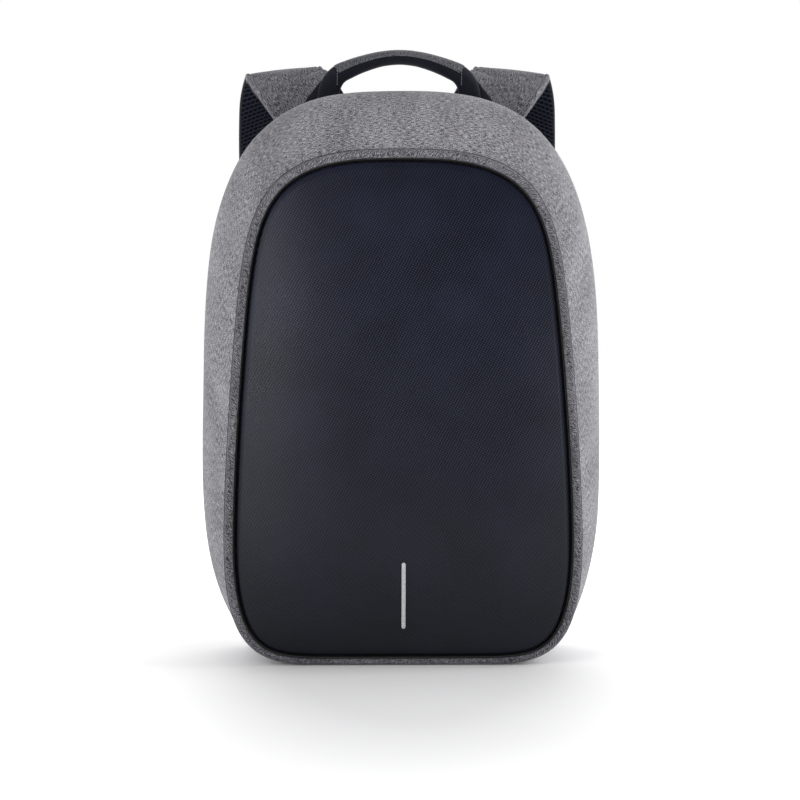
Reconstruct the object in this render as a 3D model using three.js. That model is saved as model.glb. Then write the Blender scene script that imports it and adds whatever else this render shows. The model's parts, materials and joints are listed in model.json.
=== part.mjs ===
// Anti theft backpack: a grey cloth shell around a smooth dark front panel, with a carry handle
// and two padded shoulder straps. Millimetres, +Z up, the front faces -Y, and the origin lies on
// the floor under the middle of the bag.
import * as THREE from 'three';

// Clearance between pieces that touch on the real bag.
const GAP = 0.3;

// Body, seen from the front and from the side.
const BODY_WIDTH = 309;
const BODY_HEIGHT = 439.6;
const FRONT_REACH = 80; // origin to the foremost level of the front edge
const BACK_REACH = 70; // origin to the flat back
const FRONT_LEAN = 62.8; // how far the front edge leans back over the height of the body
const TOE_TUCK = 10; // how far the front edge tucks back again at the floor
const TOE_HEIGHT = 120;
const BASE_SAG = 1.2; // the outlines dip this far under the floor and are cut flat there
const WALL = 2.5;

// Front opening with its padded roll and the panel in it.
const PANEL_WIDTH = 257.5;
const PANEL_TOP_DROP = 54.2; // top of the body to the top of the panel
const RIM_SIDE = 7;
const RIM_TOP = 7.2;
const RIM_BOTTOM = 5.3;
const RIM_DEPTH = 7.7;
const FLANGE_WIDTH = 8; // shell cloth turned in behind the panel edge
const CREASE_STEP = 0.6;
const PANEL_REVEAL = 2.3;
const PANEL_SINK = 2.4; // panel edge behind the crest of the roll
const PANEL_CROWN = 8;
const PANEL_SKIN = 3.5;
const STRIP_WIDTH = 3;
const STRIP_LENGTH = 51;
const STRIP_FLOOR = 28.6; // floor to the lower end of the strip
const STRIP_SKIN = 0.8;

// Back edge of the shell, the zip and the padded back.
const REAR_WIDTH = 292;
const REAR_TOP_DROP = 11.6;
const REAR_ROUND = 12;
const REAR_FLANGE = 6;
const ZIP_WIDTH = 8;
const ZIP_TAPE = 1.6;
const COIL_WIDTH = 3.2;
const COIL_RISE = 1.2;
const SLIDER_LENGTH = 14;
const SLIDER_WIDTH = 7;
const SLIDER_RISE = 2.6;
const PAD_INSIDE = 4;
const PAD_RISE = 6; // back padding proud of the back edge
const PAD_EDGE = 14;

// Carry handle.
const HANDLE_SPAN = 115; // between the middles of the two feet
const HANDLE_FOOT_DROP = 32.6; // top of the body to the lower end of a foot
const HANDLE_RISE = 61.2; // lower end of a foot to the middle of the grip
const HANDLE_FOOT_WIDTH = 17;
const HANDLE_FOOT_SKIN = 4.5;
const GRIP_HEIGHT = 11;
const GRIP_DEPTH = 18;
const TAB_WIDTH = 37;
const TAB_TOP_WIDTH = 8;
const TAB_HEIGHT = 45;
const TAB_SKIN = 1.5;

// Shoulder straps, described for the right one; the left one mirrors it.
const STRAP_WIDTH = 62;
const STRAP_PAD = 6;
const MESH_SKIN = 3;
const MESH_INSET = 2.5;
const STRAP_FOOT_OUT = 42;
const STRAP_FOOT_DROP = 74.6; // top of the body to the lower end of the strap foot
const STRAP_RISE = 87.4; // strap foot to the top of the fold
const STRAP_REACH = 61; // strap foot to the rearmost part of the strap
const STRAP_SPREAD = 57.4;
const STRAP_HANG = 224;
const STRAP_TUCK = 34; // the hanging end comes back toward the bag
const STRAP_TOE_IN = 8;

// Lower strap ends: loop, ladder lock, webbing and its sewn tab.
const WEBBING_WIDTH = 25;
const WEBBING_SKIN = 1.5;
const WEBBING_TAIL = 70;
const LOCK_WIDTH = 36;
const LOCK_SKIN = 4;
const LOCK_BAR = 4;
const LOOP_LENGTH = 16;
const ANCHOR_OUT = 94;
const ANCHOR_HEIGHT = 46;
const ANCHOR_WIDTH = 34;
const ANCHOR_LENGTH = 30;
const ANCHOR_SKIN = 1.5;

const SEGMENTS = 56; // around the body, an even number
const CORNER_WEIGHT = 0.5; // share of the segments spent on the corners

// Outline forms: the level of the widest point as a share of the height, how much the sides taper
// upward, and the exponents of the upper and lower curves.
const FRONT_FORM = { wide: 0.247, taper: 0.157, upZ: 10.3, upX: 2.86, lowZ: 2.49, lowX: 8.04 };
const BELLY_FORM = { wide: 0.365, taper: 0, upZ: 3.77, upX: 2.94, lowZ: 2.55, lowX: 4.98 };
const REAR_FORM = { wide: 0.36, taper: 0.02, upZ: 3.9, upX: 3.0, lowZ: 2.9, lowX: 4.6 };

// Strap route: shares of spread, reach, rise, hang and tuck, then the share of the full width and
// how far the outer edge drops per unit of width.
const STRAP_ROUTE = [
  { out: 0, back: 0, up: 0, down: 0, tuck: 0, width: 0.9, drop: 0.3 },
  { out: 0.11, back: 0, up: 0.22, down: 0, tuck: 0, width: 0.9, drop: 0.36 },
  { out: 0.22, back: 0.01, up: 0.4, down: 0, tuck: 0, width: 0.91, drop: 0.46 },
  { out: 0.4, back: 0.06, up: 0.61, down: 0, tuck: 0, width: 0.93, drop: 0.55 },
  { out: 0.602, back: 0.18, up: 0.823, down: 0, tuck: 0, width: 0.96, drop: 0.44 },
  { out: 0.778, back: 0.36, up: 0.946, down: 0, tuck: 0, width: 0.97, drop: 0.07 },
  { out: 0.871, back: 0.57, up: 1.037, down: 0, tuck: 0, width: 1.02, drop: 0.083 },
  { out: 0.896, back: 0.77, up: 1.017, down: 0, tuck: 0, width: 1, drop: 0.16 },
  { out: 0.98, back: 0.92, up: 0.81, down: 0, tuck: 0, width: 1, drop: 0 },
  { out: 1, back: 1, up: 0.58, down: 0, tuck: 0, width: 1, drop: 0 },
  { out: 1, back: 1, up: 0.58, down: 0.17, tuck: 0.02, width: 1, drop: 0 },
  { out: 1, back: 1, up: 0.58, down: 0.36, tuck: 0.12, width: 1, drop: 0 },
  { out: 1, back: 1, up: 0.58, down: 0.56, tuck: 0.32, width: 0.95, drop: 0 },
  { out: 1, back: 1, up: 0.58, down: 0.74, tuck: 0.56, width: 0.84, drop: 0 },
  { out: 1, back: 1, up: 0.58, down: 0.88, tuck: 0.79, width: 0.68, drop: 0 },
  { out: 1, back: 1, up: 0.58, down: 1, tuck: 1, width: 0.52, drop: 0 },
];

// Handle route from a foot to the middle of the grip: shares of half the span and of the rise,
// then how far the section has changed from the flat foot to the round grip, across and in depth.
const HANDLE_ROUTE = [
  { out: 1, up: 0, across: 0, deep: 0 },
  { out: 1, up: 0.2, across: 0, deep: 0 },
  { out: 0.998, up: 0.4, across: 0, deep: 0.03 },
  { out: 0.975, up: 0.56, across: 0, deep: 0.2 },
  { out: 0.93, up: 0.68, across: 0.1, deep: 0.42 },
  { out: 0.84, up: 0.78, across: 0.3, deep: 0.65 },
  { out: 0.7, up: 0.845, across: 0.5, deep: 0.85 },
  { out: 0.5, up: 0.915, across: 0.75, deep: 1 },
  { out: 0.25, up: 0.978, across: 0.95, deep: 1 },
  { out: 0, up: 1, across: 1, deep: 1 },
];

const lerp = THREE.MathUtils.lerp;

/** Depth of the crest of the front edge at a level. */
function frontDepth(z) {
  const toe = Math.max(1 - z / TOE_HEIGHT, 0);
  return -FRONT_REACH + FRONT_LEAN * (z / BODY_HEIGHT) ** 2 + TOE_TUCK * toe ** 2;
}

/** Depth of the widest section of the body at a level. */
function bellyDepth(z) {
  return (frontDepth(z) + BACK_REACH) / 2;
}

/** Right half of an outline as close points, from the middle of the bottom to that of the top. */
function halfOutline(width, bottom, top, form) {
  const wide = bottom + (top - bottom) * form.wide;
  const quarter = (end, expZ, expX, taper, s) => {
    const phi = (Math.PI / 2) * Math.sin((Math.PI / 2) * s) ** 3;
    const t = Math.sin(phi) ** (2 / expZ);
    const x = (width / 2) * (1 - taper * t ** 1.5) * Math.max(Math.cos(phi), 0) ** (2 / expX);
    return { x, z: Math.max(wide + (end - wide) * t, 0) };
  };
  const steps = 300;
  const points = [];
  for (let i = steps; i > 0; i--) points.push(quarter(bottom, form.lowZ, form.lowX, 0, i / steps));
  for (let i = 0; i <= steps; i++) points.push(quarter(top, form.upZ, form.upX, form.taper, i / steps));
  return points;
}

/** A closed outline of SEGMENTS samples with outward normals, closer together at the corners. */
function outline(width, bottom, top, form) {
  const points = halfOutline(width, bottom, top, form);
  const runs = [];
  for (let i = 1; i < points.length; i++) {
    const dx = points[i].x - points[i - 1].x;
    const dz = points[i].z - points[i - 1].z;
    runs.push({ length: Math.hypot(dx, dz), angle: Math.atan2(dz, dx) });
  }
  const length = runs.reduce((sum, run) => sum + run.length, 0);
  const measure = [0];
  for (let i = 0; i < runs.length; i++) {
    const turn = i > 0 ? Math.abs(runs[i].angle - runs[i - 1].angle) / Math.PI : 0;
    const share = (1 - CORNER_WEIGHT) * (runs[i].length / length) + CORNER_WEIGHT * turn;
    measure.push(measure[i] + share);
  }
  const half = [];
  for (let k = 0; k <= SEGMENTS / 2; k++) {
    const goal = (measure.at(-1) * k) / (SEGMENTS / 2);
    let i = 1;
    while (i < measure.length - 1 && measure[i] < goal) i++;
    const f = (goal - measure[i - 1]) / Math.max(measure[i] - measure[i - 1], 1e-9);
    const a = points[i - 1];
    const b = points[i];
    const ahead = points[Math.min(i + 4, points.length - 1)];
    const behind = points[Math.max(i - 5, 0)];
    const end = k === 0 || k === SEGMENTS / 2;
    const run = Math.hypot(ahead.x - behind.x, ahead.z - behind.z);
    half.push({
      x: end ? 0 : lerp(a.x, b.x, f),
      z: lerp(a.z, b.z, f),
      nx: end ? 0 : (ahead.z - behind.z) / run,
      nz: end ? Math.sign(k - 1) : -(ahead.x - behind.x) / run,
    });
  }
  const mirrored = half.slice(1, -1).reverse().map((p) => ({ ...p, x: -p.x, nx: -p.nx }));
  return [...half, ...mirrored];
}

/** A closed solid from closed loops of points: joined end to start, or closed by two caps. */
function loft(loops, joined) {
  const count = loops[0].length;
  const positions = loops.flat().flatMap((p) => [p.x, p.y, p.z]);
  const index = [];
  const rows = joined ? loops.length : loops.length - 1;
  for (let r = 0; r < rows; r++) {
    const here = r * count;
    const next = ((r + 1) % loops.length) * count;
    for (let i = 0; i < count; i++) {
      const j = (i + 1) % count;
      index.push(here + i, here + j, next + j, here + i, next + j, next + i);
    }
  }
  if (!joined) {
    const cap = (loop, first, flipped) => {
      const centre = new THREE.Vector3();
      loop.forEach((p) => centre.add(p));
      centre.divideScalar(count);
      const tip = positions.length / 3;
      positions.push(centre.x, centre.y, centre.z);
      for (let i = 0; i < count; i++) {
        const j = (i + 1) % count;
        if (flipped) index.push(tip, first + j, first + i);
        else index.push(tip, first + i, first + j);
      }
    };
    cap(loops[0], 0, true);
    cap(loops.at(-1), (loops.length - 1) * count, false);
  }
  return closedGeometry(positions, index);
}

/** Geometry whose faces all point outward, whichever way round the loops ran. */
function closedGeometry(positions, index) {
  const at = (i) => new THREE.Vector3(positions[3 * i], positions[3 * i + 1], positions[3 * i + 2]);
  let volume = 0;
  for (let t = 0; t < index.length; t += 3) {
    volume += at(index[t]).dot(at(index[t + 1]).cross(at(index[t + 2])));
  }
  if (volume < 0) {
    for (let t = 0; t < index.length; t += 3) {
      [index[t + 1], index[t + 2]] = [index[t + 2], index[t + 1]];
    }
  }
  const geometry = new THREE.BufferGeometry();
  geometry.setAttribute('position', new THREE.Float32BufferAttribute(positions, 3));
  geometry.setIndex(index);
  geometry.computeVertexNormals();
  return geometry;
}

const FRONT_LINE = outline(PANEL_WIDTH, RIM_BOTTOM, BODY_HEIGHT - PANEL_TOP_DROP, FRONT_FORM);
const BELLY_LINE = outline(BODY_WIDTH, -BASE_SAG, BODY_HEIGHT, BELLY_FORM);
const REAR_LINE = outline(REAR_WIDTH, -BASE_SAG, BODY_HEIGHT - REAR_TOP_DROP, REAR_FORM);

/** Width of the padded roll where the front line faces along a sample's normal. */
function rollWidth(p) {
  const up = Math.max(p.nz, 0) ** 2;
  const down = Math.max(-p.nz, 0) ** 2;
  return RIM_SIDE + (RIM_TOP - RIM_SIDE) * up + (RIM_BOTTOM - RIM_SIDE) * down;
}

/** A point beside the front line: outward across it and back from the crest of the edge. */
function besideFront(p, out, back) {
  const z = Math.max(p.z + p.nz * out, 0);
  return new THREE.Vector3(p.x + p.nx * out, frontDepth(p.z) + back, z);
}

const FLANGE_BACK = RIM_DEPTH + GAP;

/** Outer face of the shell at one sample, from the inner edge of its front flange to the back. */
function shellSection(i) {
  const front = FRONT_LINE[i];
  const belly = BELLY_LINE[i];
  const rear = REAR_LINE[i];
  const roll = rollWidth(front);
  const crease = besideFront(front, roll, FLANGE_BACK + CREASE_STEP);
  const widest = new THREE.Vector3(belly.x, bellyDepth(belly.z), belly.z);
  const section = [
    besideFront(front, -FLANGE_WIDTH, FLANGE_BACK),
    besideFront(front, roll - 2 * CREASE_STEP, FLANGE_BACK),
  ];
  for (const f of [0, 0.12, 0.28, 0.5, 0.75, 1]) {
    const swell = Math.sin((Math.PI / 2) * f);
    section.push(new THREE.Vector3(
      lerp(crease.x, widest.x, swell),
      lerp(crease.y, widest.y, f),
      lerp(crease.z, widest.z, swell),
    ));
  }
  const inset = Math.hypot(rear.x - belly.x, rear.z - belly.z);
  const lean = Math.atan((Math.PI / 2) * inset / (BACK_REACH - REAR_ROUND - widest.y));
  const turn = BACK_REACH - REAR_ROUND * (1 - Math.sin(lean));
  for (const g of [0.35, 0.7, 1]) {
    const fall = 1 - Math.cos((Math.PI / 2) * g);
    section.push(new THREE.Vector3(
      lerp(widest.x, rear.x, fall),
      lerp(widest.y, turn, g),
      lerp(widest.z, rear.z, fall),
    ));
  }
  for (const part of [0.4, 0.75, 1]) {
    const angle = lerp(lean, Math.PI / 2, part);
    const inward = REAR_ROUND * (Math.cos(lean) - Math.cos(angle));
    section.push(besideRear(rear, -inward, turn + REAR_ROUND * (Math.sin(angle) - Math.sin(lean))));
  }
  section.push(besideRear(rear, -(REAR_ROUND + REAR_FLANGE), BACK_REACH));
  return section;
}

/** A point beside the back line: outward across it, at a depth of its own. */
function besideRear(p, out, y) {
  return new THREE.Vector3(p.x + p.nx * out, y, Math.max(p.z + p.nz * out, 0));
}

/** Hollow cloth body: the outer face, and an inner face one wall inside it. */
function shellGeometry() {
  const sections = FRONT_LINE.map((_, i) => shellSection(i));
  const stations = sections[0].length;
  const outer = [];
  for (let s = 0; s < stations; s++) outer.push(sections.map((section) => section[s]));
  const inner = outer.map((loop, s) => loop.map((p, i) => {
    const ahead = outer[Math.min(s + 1, stations - 1)][i];
    const behind = outer[Math.max(s - 1, 0)][i];
    const along = ahead.clone().sub(behind);
    const around = loop[(i + 1) % SEGMENTS].clone().sub(loop[(i + SEGMENTS - 1) % SEGMENTS]);
    const normal = along.cross(around).normalize();
    return p.clone().addScaledVector(normal, WALL);
  }));
  const middle = new THREE.Vector3(0, 0, BODY_HEIGHT / 2);
  const widest = Math.floor(stations / 2);
  const side = Math.floor(SEGMENTS / 4);
  const inward = inner[widest][side].distanceTo(middle) < outer[widest][side].distanceTo(middle);
  const lining = inward ? inner : inner.map((loop, s) => loop.map((p, i) => (
    outer[s][i].clone().multiplyScalar(2).sub(p)
  )));
  return loft([...outer, ...lining.reverse()], true);
}

/** Padded roll around the front opening, round in front and flat behind. */
function rimGeometry() {
  const profile = [
    { across: 0.04, back: 1 }, { across: 0, back: 0.5 }, { across: 0.12, back: 0.16 },
    { across: 0.36, back: 0 }, { across: 0.64, back: 0 }, { across: 0.88, back: 0.16 },
    { across: 1, back: 0.5 }, { across: 1, back: 1 },
  ];
  return loft(profile.map(({ across, back }) => FRONT_LINE.map((p) => (
    besideFront(p, rollWidth(p) * across, RIM_DEPTH * back)
  ))), true);
}

/** Level of the middle of the front panel. */
const PANEL_MIDDLE = (RIM_BOTTOM + BODY_HEIGHT - PANEL_TOP_DROP) / 2;

/** Point of the panel at a share of the way from its middle to its edge, back from its face. */
function panelPoint(p, share, back) {
  const edge = besideFront(p, -PANEL_REVEAL, 0);
  const level = lerp(PANEL_MIDDLE, p.z, share);
  const lift = PANEL_CROWN * (1 - share ** 2.6);
  return new THREE.Vector3(
    edge.x * share,
    frontDepth(level) + PANEL_SINK - lift + back,
    lerp(PANEL_MIDDLE, edge.z, share),
  );
}

/** Smooth front panel: a shallow dome with its edge turned back toward the shell flange. */
function panelGeometry() {
  const faceShares = [0.06, 0.3, 0.52, 0.71, 0.86, 0.95, 0.985];
  const backShares = [0.95, 0.8, 0.55, 0.3, 0.06];
  const face = faceShares.map((share) => FRONT_LINE.map((p) => panelPoint(p, share, 0)));
  const edge = [
    FRONT_LINE.map((p) => panelPoint(p, 1, 1)),
    FRONT_LINE.map((p) => besideFront(p, -PANEL_REVEAL, RIM_DEPTH)),
    FRONT_LINE.map((p) => besideFront(p, -PANEL_REVEAL - PANEL_SKIN / 2, RIM_DEPTH)),
  ];
  const lining = backShares.map((share) => FRONT_LINE.map((p) => panelPoint(p, share, PANEL_SKIN)));
  return loft([...face, ...edge, ...lining], false);
}

/** Depth of the panel face on the middle line of the bag. */
function panelFace(z) {
  const end = z < PANEL_MIDDLE ? FRONT_LINE[0].z : FRONT_LINE[SEGMENTS / 2].z;
  const share = Math.abs((z - PANEL_MIDDLE) / (end - PANEL_MIDDLE));
  return frontDepth(z) + PANEL_SINK - PANEL_CROWN * (1 - share ** 2.6);
}

/** Thin upright bar with rounded ends, laid along the panel face. */
function stripGeometry() {
  const radius = STRIP_WIDTH / 2;
  const rows = [];
  for (let k = 0; k <= 4; k++) rows.push(radius * (1 - Math.cos((Math.PI / 8) * k)));
  for (let k = 1; k < 5; k++) rows.push(radius + (STRIP_LENGTH - 2 * radius) * (k / 5));
  for (let k = 4; k >= 0; k--) rows.push(STRIP_LENGTH - radius * (1 - Math.cos((Math.PI / 8) * k)));
  const loops = rows.map((run) => {
    const short = Math.max(radius - run, radius - (STRIP_LENGTH - run), 0);
    const half = Math.max(Math.sqrt(Math.max(radius ** 2 - short ** 2, 0)), 0.2);
    const z = STRIP_FLOOR + run;
    const y = panelFace(z) - GAP;
    return [
      new THREE.Vector3(-half, y, z), new THREE.Vector3(half, y, z),
      new THREE.Vector3(half, y - STRIP_SKIN, z), new THREE.Vector3(-half, y - STRIP_SKIN, z),
    ];
  });
  return loft(loops, false);
}

const ZIP_START = REAR_ROUND + REAR_FLANGE + GAP; // inward from the back line
const PAD_START = ZIP_START + ZIP_WIDTH + GAP;

/** Flat zip tape with a raised coil along its middle. */
function zipGeometry() {
  const middle = ZIP_START + ZIP_WIDTH / 2;
  const face = BACK_REACH - GAP;
  const profile = [
    { inward: ZIP_START, y: face - ZIP_TAPE },
    { inward: ZIP_START, y: face },
    { inward: middle - COIL_WIDTH / 2, y: face },
    { inward: middle - COIL_WIDTH / 4, y: face + COIL_RISE },
    { inward: middle + COIL_WIDTH / 4, y: face + COIL_RISE },
    { inward: middle + COIL_WIDTH / 2, y: face },
    { inward: ZIP_START + ZIP_WIDTH, y: face },
    { inward: ZIP_START + ZIP_WIDTH, y: face - ZIP_TAPE },
  ];
  return loft(profile.map(({ inward, y }) => REAR_LINE.map((p) => besideRear(p, -inward, y))), true);
}

/** Plain zip slider on the coil at the middle of the top. */
function sliderGeometry() {
  const shape = new THREE.Shape();
  const end = SLIDER_LENGTH / 2;
  const side = SLIDER_WIDTH / 2;
  shape.moveTo(-end, -side * 0.6);
  shape.lineTo(-end + side, -side);
  shape.lineTo(end - side, -side);
  shape.lineTo(end, -side * 0.6);
  shape.lineTo(end, side * 0.6);
  shape.lineTo(end - side, side);
  shape.lineTo(-end + side, side);
  shape.lineTo(-end, side * 0.6);
  shape.closePath();
  const geometry = new THREE.ExtrudeGeometry(shape, { depth: SLIDER_RISE, bevelEnabled: false });
  geometry.rotateX(Math.PI / 2);
  geometry.translate(0, SLIDER_RISE, 0);
  return geometry;
}

/** Padded back: flat behind, rounded along its edge, plain inside the bag. */
function backGeometry() {
  const rise = (inward) => PAD_RISE * Math.sin((Math.PI / 2) * Math.min(inward / PAD_EDGE, 1));
  const around = (inward, y) => REAR_LINE.map((p) => besideRear(p, -PAD_START - inward, y));
  const flat = around(PAD_EDGE, BACK_REACH + PAD_RISE);
  const middle = new THREE.Vector3(0, 0, BODY_HEIGHT / 2 - REAR_ROUND);
  const shrunk = (loop, share, y) => loop.map((p) => (
    new THREE.Vector3(p.x * share, y, lerp(middle.z, p.z, share))
  ));
  const outside = BACK_REACH + PAD_RISE;
  const inside = BACK_REACH - PAD_INSIDE;
  const face = [0.06, 0.5, 0.8].map((share) => shrunk(flat, share, outside));
  const edge = [PAD_EDGE, PAD_EDGE * 0.6, PAD_EDGE * 0.3, PAD_EDGE * 0.1].map((inward) => (
    around(inward, BACK_REACH + rise(inward))
  ));
  const wall = [around(0, BACK_REACH - 1), around(0, inside)];
  const lining = [0.6, 0.06].map((share) => shrunk(flat, share, inside));
  return loft([...face, ...edge, ...wall, ...lining], false);
}

/** Folded handle: flat feet against the back edge of the shell, and a rounded grip between. */
function handleGeometry() {
  const foot = BODY_HEIGHT - HANDLE_FOOT_DROP;
  const rear = BACK_REACH + GAP + HANDLE_FOOT_SKIN;
  const right = HANDLE_ROUTE.map((row) => ({
    ...row, x: (row.out * HANDLE_SPAN) / 2, z: foot + row.up * HANDLE_RISE,
  }));
  const rows = [...right, ...right.slice(0, -1).reverse().map((row) => ({ ...row, x: -row.x }))];
  const curve = new THREE.CatmullRomCurve3(rows.map((row) => new THREE.Vector3(row.x, rear, row.z)));
  const corner = [
    { across: -0.5, deep: -0.22 }, { across: -0.3, deep: -0.5 }, { across: 0.22, deep: -0.5 },
    { across: 0.5, deep: -0.2 }, { across: 0.5, deep: 0.2 }, { across: 0.22, deep: 0.5 },
    { across: -0.3, deep: 0.5 }, { across: -0.5, deep: 0.22 },
  ];
  const perRow = 2;
  const count = (rows.length - 1) * perRow;
  const loops = [];
  for (let k = 0; k <= count; k++) {
    const at = curve.getPoint(k / count);
    const tangent = curve.getTangent(k / count);
    const here = rows[Math.floor(k / perRow)];
    const next = rows[Math.min(Math.floor(k / perRow) + 1, rows.length - 1)];
    const f = (k % perRow) / perRow;
    const across = lerp(HANDLE_FOOT_WIDTH, GRIP_HEIGHT, lerp(here.across, next.across, f));
    const deep = lerp(HANDLE_FOOT_SKIN, GRIP_DEPTH, lerp(here.deep, next.deep, f));
    const side = new THREE.Vector3(tangent.z, 0, -tangent.x);
    loops.push(corner.map((c) => at.clone()
      .addScaledVector(side, across * c.across)
      .add(new THREE.Vector3(0, deep * (c.deep - 0.5), 0))));
  }
  return loft(loops, false);
}

/** Woven patch behind a foot of the handle. */
function tabGeometry() {
  const shape = new THREE.Shape();
  shape.moveTo(-TAB_WIDTH / 2, 0);
  shape.lineTo(TAB_WIDTH / 2, 0);
  shape.lineTo(TAB_WIDTH / 2, TAB_HEIGHT * 0.59);
  shape.lineTo(TAB_TOP_WIDTH / 2, TAB_HEIGHT);
  shape.lineTo(-TAB_TOP_WIDTH / 2, TAB_HEIGHT);
  shape.lineTo(-TAB_WIDTH / 2, TAB_HEIGHT * 0.59);
  shape.closePath();
  const geometry = new THREE.ExtrudeGeometry(shape, { depth: TAB_SKIN, bevelEnabled: false });
  geometry.rotateX(Math.PI / 2);
  geometry.translate(0, TAB_SKIN, 0);
  return geometry;
}

const STRAP_FACE = BACK_REACH + PAD_RISE + GAP; // depth of the front of the strap foot

/** Centre line of the right strap as a curve, with the table rows at equal steps of it. */
function strapCurve() {
  return new THREE.CatmullRomCurve3(STRAP_ROUTE.map((row) => new THREE.Vector3(
    STRAP_FOOT_OUT + STRAP_SPREAD * row.out - STRAP_TOE_IN * row.tuck,
    STRAP_FACE + STRAP_PAD + GAP / 2 + STRAP_REACH * row.back - STRAP_TUCK * row.tuck,
    BODY_HEIGHT - STRAP_FOOT_DROP + STRAP_RISE * row.up - STRAP_HANG * row.down,
  )));
}

/** Place, direction, width axis and outward axis of the strap at a share of its route. */
function strapFrame(curve, t) {
  const step = t * (STRAP_ROUTE.length - 1);
  const here = STRAP_ROUTE[Math.min(Math.floor(step), STRAP_ROUTE.length - 2)];
  const next = STRAP_ROUTE[Math.min(Math.floor(step) + 1, STRAP_ROUTE.length - 1)];
  const f = step - Math.min(Math.floor(step), STRAP_ROUTE.length - 2);
  const along = curve.getTangent(t);
  const across = new THREE.Vector3(1, 0, -lerp(here.drop, next.drop, f));
  across.addScaledVector(along, -across.dot(along)).normalize();
  const out = across.clone().cross(along).normalize();
  return { at: curve.getPoint(t), along, across, out, width: STRAP_WIDTH * lerp(here.width, next.width, f) };
}

/** One layer of the right strap between two heights over its centre line. */
function strapLayer(low, high, inset) {
  const curve = strapCurve();
  const count = (STRAP_ROUTE.length - 1) * 2;
  const loops = [];
  for (let k = 0; k <= count; k++) {
    const { at, across, out, width } = strapFrame(curve, k / count);
    const half = width / 2 - inset;
    const round = (high - low) / 3;
    const corner = [
      [-half, low + round], [-half + round, low], [half - round, low], [half, low + round],
      [half, high - round], [half - round, high], [-half + round, high], [-half, high - round],
    ];
    loops.push(corner.map(([a, o]) => at.clone().addScaledVector(across, a).addScaledVector(out, o)));
  }
  return loft(loops, false);
}

/** Frame of the lower strap end, and the place where its webbing leaves the sewn tab. */
function lowerFrame() {
  const { at, along, across, out } = strapFrame(strapCurve(), 1);
  const anchor = new THREE.Vector3(
    ANCHOR_OUT,
    STRAP_FACE + ANCHOR_SKIN + GAP + WEBBING_SKIN / 2,
    ANCHOR_HEIGHT + ANCHOR_LENGTH,
  );
  return { at, anchor, down: along, across, out };
}

/** A flat band of cloth along points given as [down, out] from the strap end. */
function bandGeometry(frame, route, width) {
  const points = route.map(([down, out]) => frame.at.clone()
    .addScaledVector(frame.down, down).addScaledVector(frame.out, out));
  return ribbon(points, frame.across, width);
}

/** A ribbon of webbing through points, its width along one axis. */
function ribbon(points, across, width) {
  const loops = points.map((p, k) => {
    const along = points[Math.min(k + 1, points.length - 1)].clone().sub(points[Math.max(k - 1, 0)]);
    const out = across.clone().cross(along).normalize();
    return [[-1, -1], [1, -1], [1, 1], [-1, 1]].map(([a, o]) => p.clone()
      .addScaledVector(across, (a * width) / 2)
      .addScaledVector(out, (o * WEBBING_SKIN) / 2));
  });
  return loft(loops, false);
}

const LOOP_BEND = LOCK_SKIN / 2 + GAP + WEBBING_SKIN / 2; // layer of webbing beside the lock
const LOCK_SLOT = 2 * LOOP_BEND + WEBBING_SKIN + 2 * GAP; // two turns of webbing meet in a slot
const LOCK_TOP = LOOP_LENGTH - LOCK_BAR - GAP; // strap end to the top of the lock

/** Half turn of webbing around a bar, as [down, out] points. */
function turnPoints(down, sense) {
  const points = [];
  for (let k = 0; k <= 6; k++) {
    const angle = (Math.PI * k) / 6;
    points.push([down + sense * LOOP_BEND * Math.sin(angle), -LOOP_BEND * Math.cos(angle)]);
  }
  return points;
}

/** Webbing loop that hangs the ladder lock on the strap end. */
function loopGeometry(frame) {
  const start = GAP;
  const turn = turnPoints(LOCK_TOP + LOCK_BAR, 1);
  return bandGeometry(frame, [[start, -LOOP_BEND], ...turn, [start, LOOP_BEND]], WEBBING_WIDTH);
}

/** Ladder lock: a flat frame with two slots, lying along the webbing. */
function lockGeometry(frame) {
  const half = LOCK_WIDTH / 2;
  const length = 3 * LOCK_BAR + 2 * LOCK_SLOT;
  const shape = new THREE.Shape();
  const round = LOCK_BAR * 0.75;
  shape.moveTo(-half + round, 0);
  shape.lineTo(half - round, 0);
  shape.lineTo(half, round);
  shape.lineTo(half, length - round);
  shape.lineTo(half - round, length);
  shape.lineTo(-half + round, length);
  shape.lineTo(-half, length - round);
  shape.lineTo(-half, round);
  shape.closePath();
  const slotHalf = Math.max(WEBBING_WIDTH / 2 + 2 * GAP, 1);
  for (const first of [LOCK_BAR, 2 * LOCK_BAR + LOCK_SLOT]) {
    const slot = new THREE.Path();
    slot.moveTo(-slotHalf, first);
    slot.lineTo(-slotHalf, first + LOCK_SLOT);
    slot.lineTo(slotHalf, first + LOCK_SLOT);
    slot.lineTo(slotHalf, first);
    slot.closePath();
    shape.holes.push(slot);
  }
  const geometry = new THREE.ExtrudeGeometry(shape, { depth: LOCK_SKIN, bevelEnabled: false });
  geometry.translate(0, 0, -LOCK_SKIN / 2);
  const basis = new THREE.Matrix4().makeBasis(frame.across, frame.down, frame.out);
  basis.setPosition(frame.at.clone().addScaledVector(frame.down, LOCK_TOP));
  geometry.applyMatrix4(basis);
  return geometry;
}

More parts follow.
